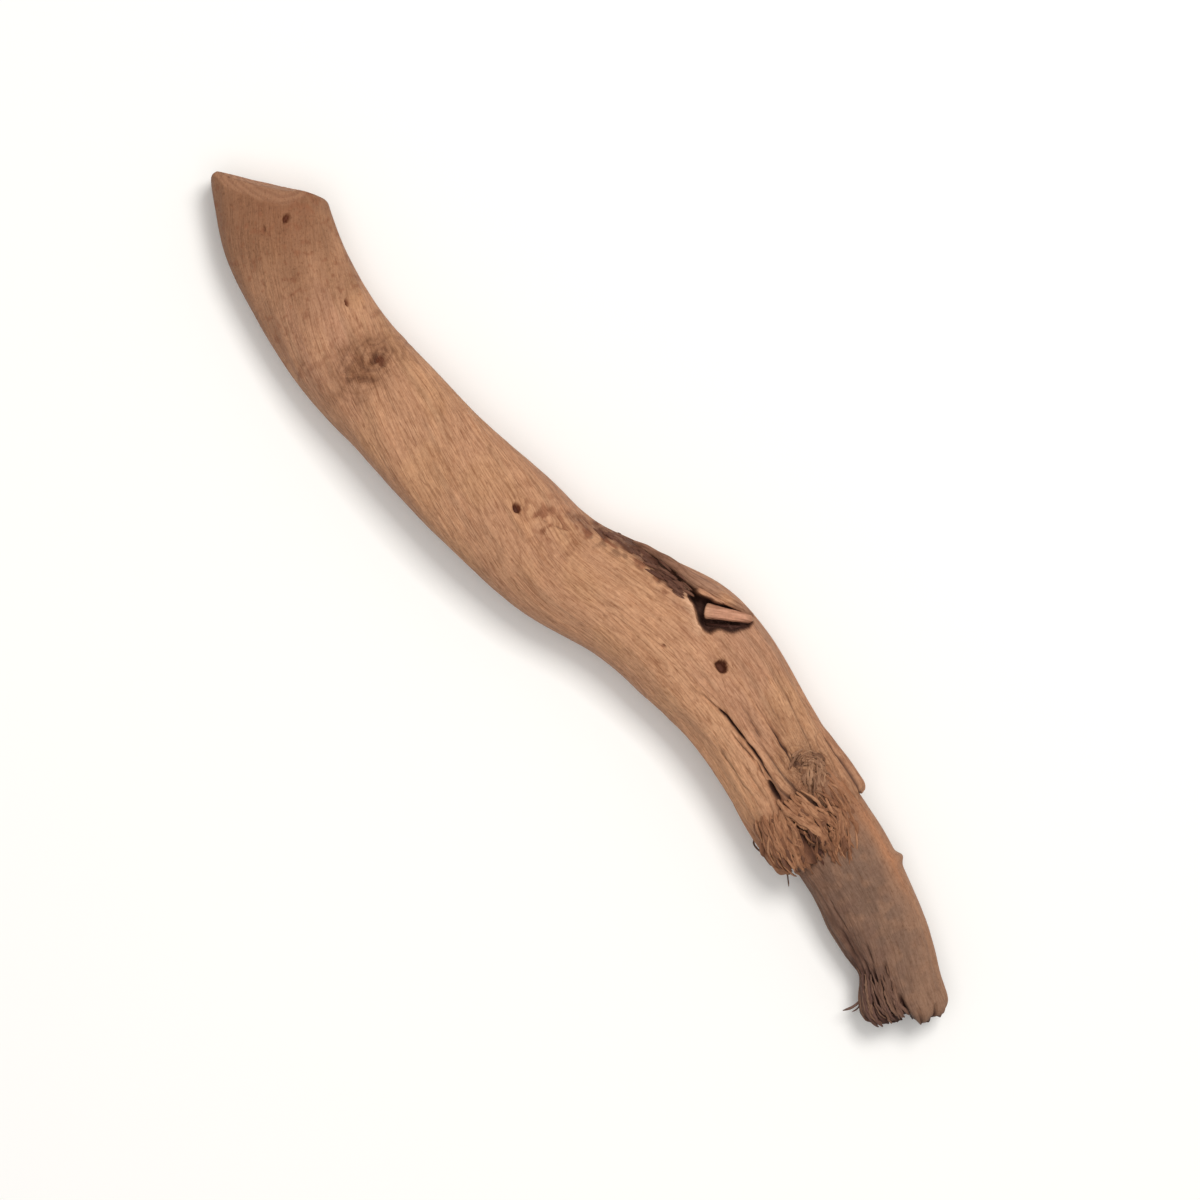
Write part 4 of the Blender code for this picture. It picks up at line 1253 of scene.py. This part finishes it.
def torn_strands():
    """Thick torn strands, groups of finer fibres between them, and the fibres of the swirl."""
    rng = random.Random(3)
    strands = Strands()

    def lay(x, y, height, radius, sides, shade, bumps, colours=TORN_COLOURS):
        t = np.linspace(0, 1, len(x))
        points = lying(x, y, -0.45 + (height + 0.45) * np.sin(math.pi * t) ** 0.5)
        taper = np.minimum(1, 0.4 + 4 * t) * np.minimum(1, 0.3 + 4 * (1 - t))
        uneven = 1 + 0.25 * np.sin(np.arange(len(x)) * 0.9 + rng.uniform(0, 6))
        tone = shade_of(shade, *colours)
        strands.add(points, radius * taper * uneven, sides, 0.8, tone, 0.0, bumps, 0.3)

    for path, radius, height, shade in TORN_STRANDS:
        plan = smooth_path(path, 30)
        lay(plan[:, 0], plan[:, 1], height, radius, 12, shade, 0.16)
    for count, xs, ys, slopes, lengths, radii, shades in TORN_GROUPS:
        for k in range(count):
            side = (k + rng.uniform(0.1, 0.9)) / count
            start_x, start_y = rng.uniform(*xs), ys[0] + (ys[1] - ys[0]) * side
            slope = slopes[0] + (slopes[1] - slopes[0]) * rng.random() + rng.gauss(0, 0.10)
            length = rng.uniform(*lengths)
            t = np.linspace(0, 1, 12)
            wander = np.cumsum([rng.gauss(0, 0.05) for _ in t])
            y = start_y + slope * length * t + rng.gauss(0, 0.35) * np.sin(math.pi * t) + wander
            x = start_x + length * t
            lay(x, y, rng.uniform(-0.1, 0.4), rng.uniform(*radii), 8, rng.uniform(*shades), 0.1)
    for k in range(SWIRL_ARCS + SWIRL_FIBRES):
        if k < SWIRL_ARCS:
            # Grain that bends round the swirl on its near side
            reach = rng.uniform(1.4, 4.8)
            a = math.radians(rng.uniform(95, 215)) + rng.uniform(0.4, 0.9) * np.linspace(-0.5, 0.5, 12)
            x = SWIRL[0] + rng.gauss(0, 0.6) + 1.2 * reach * np.cos(a)
            y = SWIRL[1] + rng.gauss(0, 0.6) + reach * np.sin(a)
        else:
            # Short fibres in its middle
            way = math.radians(rng.gauss(-35, 17))
            run = rng.uniform(1.8, 4.2) * np.linspace(-0.5, 0.5, 12)
            bow = rng.gauss(0, 0.35) * np.cos(math.pi * np.linspace(-0.5, 0.5, 12))
            x = SWIRL[0] + rng.gauss(0.4, 1.4) + run * math.cos(way) - bow * math.sin(way)
            y = SWIRL[1] + rng.gauss(0.0, 1.4) + run * math.sin(way) + bow * math.cos(way)
        shade = rng.uniform(-0.7, 0.8)
        lay(x, y, rng.uniform(-0.3, 0.02), rng.uniform(0.16, 0.36), 8, shade, 0.05, SWIRL_COLOURS)
    strands.finish("torn_strands", 34)


# Hairs: radius and path
HAIRS = (
    (
        0.20,
        ((176.4, -2.2, 9.5), (177.4, -3.6, 9.8), (179.2, -3.7, 9.4), (180.6, -3.1, 9.2), (181.4, -2.0, 9.4)),
    ),
    (0.30, ((217.6, -3.8, 7.6), (218.8, -6.2, 7.4), (218.9, -8.4, 6.9), (218.3, -10.4, 6.4))),
    (0.16, ((219.0, -6.0, 6.6), (219.9, -7.6, 6.2), (219.8, -9.0, 5.8))),
    (0.16, ((186.0, -1.2, 9.8), (188.6, -2.7, 9.4), (189.6, -3.3, 8.8))),
)


def stray_hairs():
    """Single thin fibres that stand off the root's outline."""
    strands = Strands()
    for radius, path in HAIRS:
        steps = 16
        radii = radius * np.minimum(1, 0.3 + 4 * np.linspace(1, 0, steps))
        strands.add(smooth_path(path, steps), radii, 6, 1.0, blend(CORE_GREY, TIP_BROWN, 0.6))
    strands.finish("stray_hairs")


def tip_fibres():
    """Bundles that fray out along the tip's left and lower sides, and broken fibres inside the end."""
    rng = random.Random(5)
    strands = Strands()
    for k in range(TIP_BUNDLES):
        angle = math.radians(100 + 200 * (k + rng.uniform(0.2, 0.8)) / TIP_BUNDLES)
        end = float(tip_end(np.array(angle))) + rng.uniform(-1.2, 0.3) - 1.2 * max(0, -math.sin(angle))
        steps = 22
        t = np.linspace(0, 1, steps)
        along = end - rng.uniform(5, 12) * (1 - t)
        wander = np.cumsum([rng.gauss(0, 0.012) for _ in t])
        rim, heart = skin(CORE, along, angle + rng.gauss(0, 0.03) + rng.gauss(0, 0.06) * t + wander)
        flare = left_edge(rim[:, 0], np.full(steps, angle))
        radius = rng.uniform(0.18, 0.44)
        lift = flare - 0.9 * radius + 0.75 * radius * rise(t, 0.1, 0.7) - 0.9 * t**8
        points = rim + unit(rim - heart) * lift[:, None]
        taper = np.minimum(1, 0.3 + 2.4 * t) * np.minimum(1, 0.55 + 3 * (1 - t))
        tone = shade_of(rng.uniform(-0.5, 0.9), *TIP_COLOURS)
        strands.add(points, radius * taper, 10, 0.8, tone, rng.uniform(0, 0.15), 0.14)
    for _ in range(INNER_FIBRES):
        angle = math.radians(rng.uniform(0, 360))
        depth = math.sqrt(rng.uniform(0.04, 0.64))
        end = float(tip_end(np.array(math.acos(max(-1, min(1, depth * math.cos(angle)))))))
        reach = rng.uniform(-2.6, -0.3) - 2.2 * depth**6 - 1.2 * max(0, -math.sin(angle))
        steps = 6
        t = np.linspace(0, 1, steps)
        along = end - 6 + (6 + reach) * t
        rim, heart = skin(CORE, along, np.full(steps, angle))
        spread = 1 + rng.gauss(0, 0.05) * t**2
        points = heart + (rim - heart) * (depth * spread)[:, None]
        width = rng.uniform(0.16, 0.5)
        radii = width * np.minimum(1, 0.45 + 2.5 * (1 - t))
        tone = shade_of(rng.uniform(-0.2, 1.0), *TIP_COLOURS)
        strands.add(points, radii, 6, 0.8, tone, rng.uniform(0.0, 0.35))
    strands.finish("tip_fibres")


def spread_over(t, values):
    """Values spread evenly over a length, read at shares of it."""
    return np.interp(t, np.linspace(0, 1, len(values)), values)


def blunt_end(t, share):
    """1 along a strand, falling to a rounded end over a share of its length."""
    return np.sqrt(np.clip(1 - (1 - np.clip(t / share, 0, 1)) ** 2.4, 0.01, 1))


def side_roots(strands):
    """The dead side root that lies across the hollow, and a thin one under it."""
    steps = 60
    t = np.linspace(0, 1, steps)
    radii = blunt_end(t, 0.07) * blunt_end(1 - t, 0.10) * spread_over(t, STUB_RADII)
    # The side root is painted paler towards its blunt near end, with the same pale colour as the painted
    # highlight on the hollow's rim
    tone = blend(STUB_TAN, PALE_RIM_HIGHLIGHT, 0.5 * (1 - rise(t, 0.03, 0.25)), RIM_BROWN, 0.6 * rise(t, 0.7, 1))
    strands.add(smooth_path(STUB_PATH, steps), radii, 30, 0.9, tone, 0.0, 0.34, 0.05, 0.3)
    radii = spread_over(t, THIN_ROOT_RADII)
    strands.add(smooth_path(THIN_ROOT, steps), radii, 14, 0.9, TORN_DARK, 0.1, 0.12)


def rim_strand(strands):
    """The rounded strand of wood along the rim beside the hollow."""
    steps = 110
    plan = smooth_path(RIM_STRAND, steps)
    t = np.linspace(0, 1, steps)
    radii = spread_over(t, RIM_STRAND_RADII)
    _, _, points, outward = on_top(TRUNK, plan[:, 0], plan[:, 1] - 0.9)
    points = points + outward * (-0.1 * radii)[:, None]
    points[:, 0:2] = 0.5 * points[:, 0:2] + 0.5 * plan
    # Bark-dark near the crease, with a painted highlight of light tan near its far end
    tone = blend(RIM_BROWN, BARK, 0.4 * (1 - rise(t, 0.2, 0.6)), LIGHT_TAN, 0.7 * bell(t - 0.78, 0.06))
    strands.add(points, radii, 26, 0.95, tone, 0.0, 0.3)


def bark_strips(strands):
    """Dark strips of dead bark along the crease."""
    rng = random.Random(8)
    for _ in range(BARK_STRIPS):
        where = rng.uniform(0.25, 1.0)
        centre = np.array(smooth_path(CREASE, 101)[int(where * 100)])
        slope = rng.gauss(0.33, 0.12)
        length = rng.uniform(1.2, 4.2)
        offset = rng.gauss(0.1, 0.75)
        t = np.linspace(-0.5, 0.5, 7)
        x = centre[0] + length * t
        y = centre[1] + offset + slope * length * t
        _, _, points, outward = on_top(TRUNK, x, y)
        sunk = -float(from_table(BARK_SINKS, where)) * math.exp(-(offset**2))
        points = points + outward * (sunk + 0.15 * np.cos(math.pi * t) - 0.1)[:, None]
        radii = rng.uniform(0.16, 0.42) * np.sqrt(np.clip(1 - (2 * t) ** 2, 0.08, 1))
        tone = blend(BARK, RIM_BROWN, rng.uniform(0, 0.25))
        strands.add(points, radii, 8, 0.5, tone, rng.uniform(0, 0.25))


def hollow_parts():
    """What lies in and beside the hollow and the crease."""
    strands = Strands()
    side_roots(strands)
    rim_strand(strands)
    bark_strips(strands)
    strands.finish("hollow_parts")


# The floor and the light of the room, in metres and watts
FLOOR_SIZE = 6.0
FLOOR_DROP = 0.0002
ROOM_COLOUR = (1.0, 0.99, 0.97, 1.0)
ROOM_STRENGTH = 0.385
# Lights: name, place, size, power and colour
LIGHTS = (
    ("key", (-0.12, 0.55, 1.28), 0.45, 11.0, (1.0, 0.985, 0.96)),
    ("top", (0.1, -0.1, 1.6), 1.2, 8.4, (1.0, 1.0, 1.0)),
)


def stage():
    bpy.ops.mesh.primitive_plane_add(size=FLOOR_SIZE, location=(0, 0, -FLOOR_DROP))
    floor = bpy.context.object
    floor.name = "floor"
    floor.data.materials.append(pale_floor())


def area_light(name, place, size, power, colour):
    data = bpy.data.lights.new(name, "AREA")
    data.size = size
    data.energy = power
    data.color = colour
    light = bpy.data.objects.new(name, data)
    light.location = place
    light.rotation_euler = (-Vector(place)).to_track_quat("-Z", "Y").to_euler()
    bpy.context.scene.collection.objects.link(light)


def lights():
    world = bpy.data.worlds.new("soft_room")
    world.use_nodes = True
    background = world.node_tree.nodes["Background"]
    background.inputs["Color"].default_value = ROOM_COLOUR
    background.inputs["Strength"].default_value = ROOM_STRENGTH
    bpy.context.scene.world = world
    for light in LIGHTS:
        area_light(*light)


# The photograph's view, from straight above and drawn closer round the root
VIEW_WIDTH = 260.0
VIEW_CENTRE = (115.3, 2.0)
PHOTO_RIGHT = (0.6082, 0.7938)
CAMERA_HEIGHT = 1200.0
OUTLINE_HEIGHT = 11.0
SENSOR = 36.0


def camera():
    data = bpy.data.cameras.new("camera")
    data.sensor_width = SENSOR
    data.lens = SENSOR * (CAMERA_HEIGHT - OUTLINE_HEIGHT) / VIEW_WIDTH
    cam = bpy.data.objects.new("camera", data)
    bpy.context.scene.collection.objects.link(cam)
    right = Vector((*PHOTO_RIGHT, 0.0)).normalized()
    back = Vector((0.0, 0.0, 1.0))
    up = back.cross(right)
    turn = Matrix((right, up, back)).transposed().to_4x4()
    place = Vector((VIEW_CENTRE[0] - MIDDLE[0], VIEW_CENTRE[1] - MIDDLE[1], CAMERA_HEIGHT)) * MM
    cam.matrix_world = Matrix.Translation(place) @ turn
    bpy.context.scene.camera = cam


WOOD = root_wood()
Trunk().build()
core()
torn_strands()
stray_hairs()
tip_fibres()
hollow_parts()
stage()
lights()
camera()
bpy.context.scene.view_settings.view_transform = "Standard"
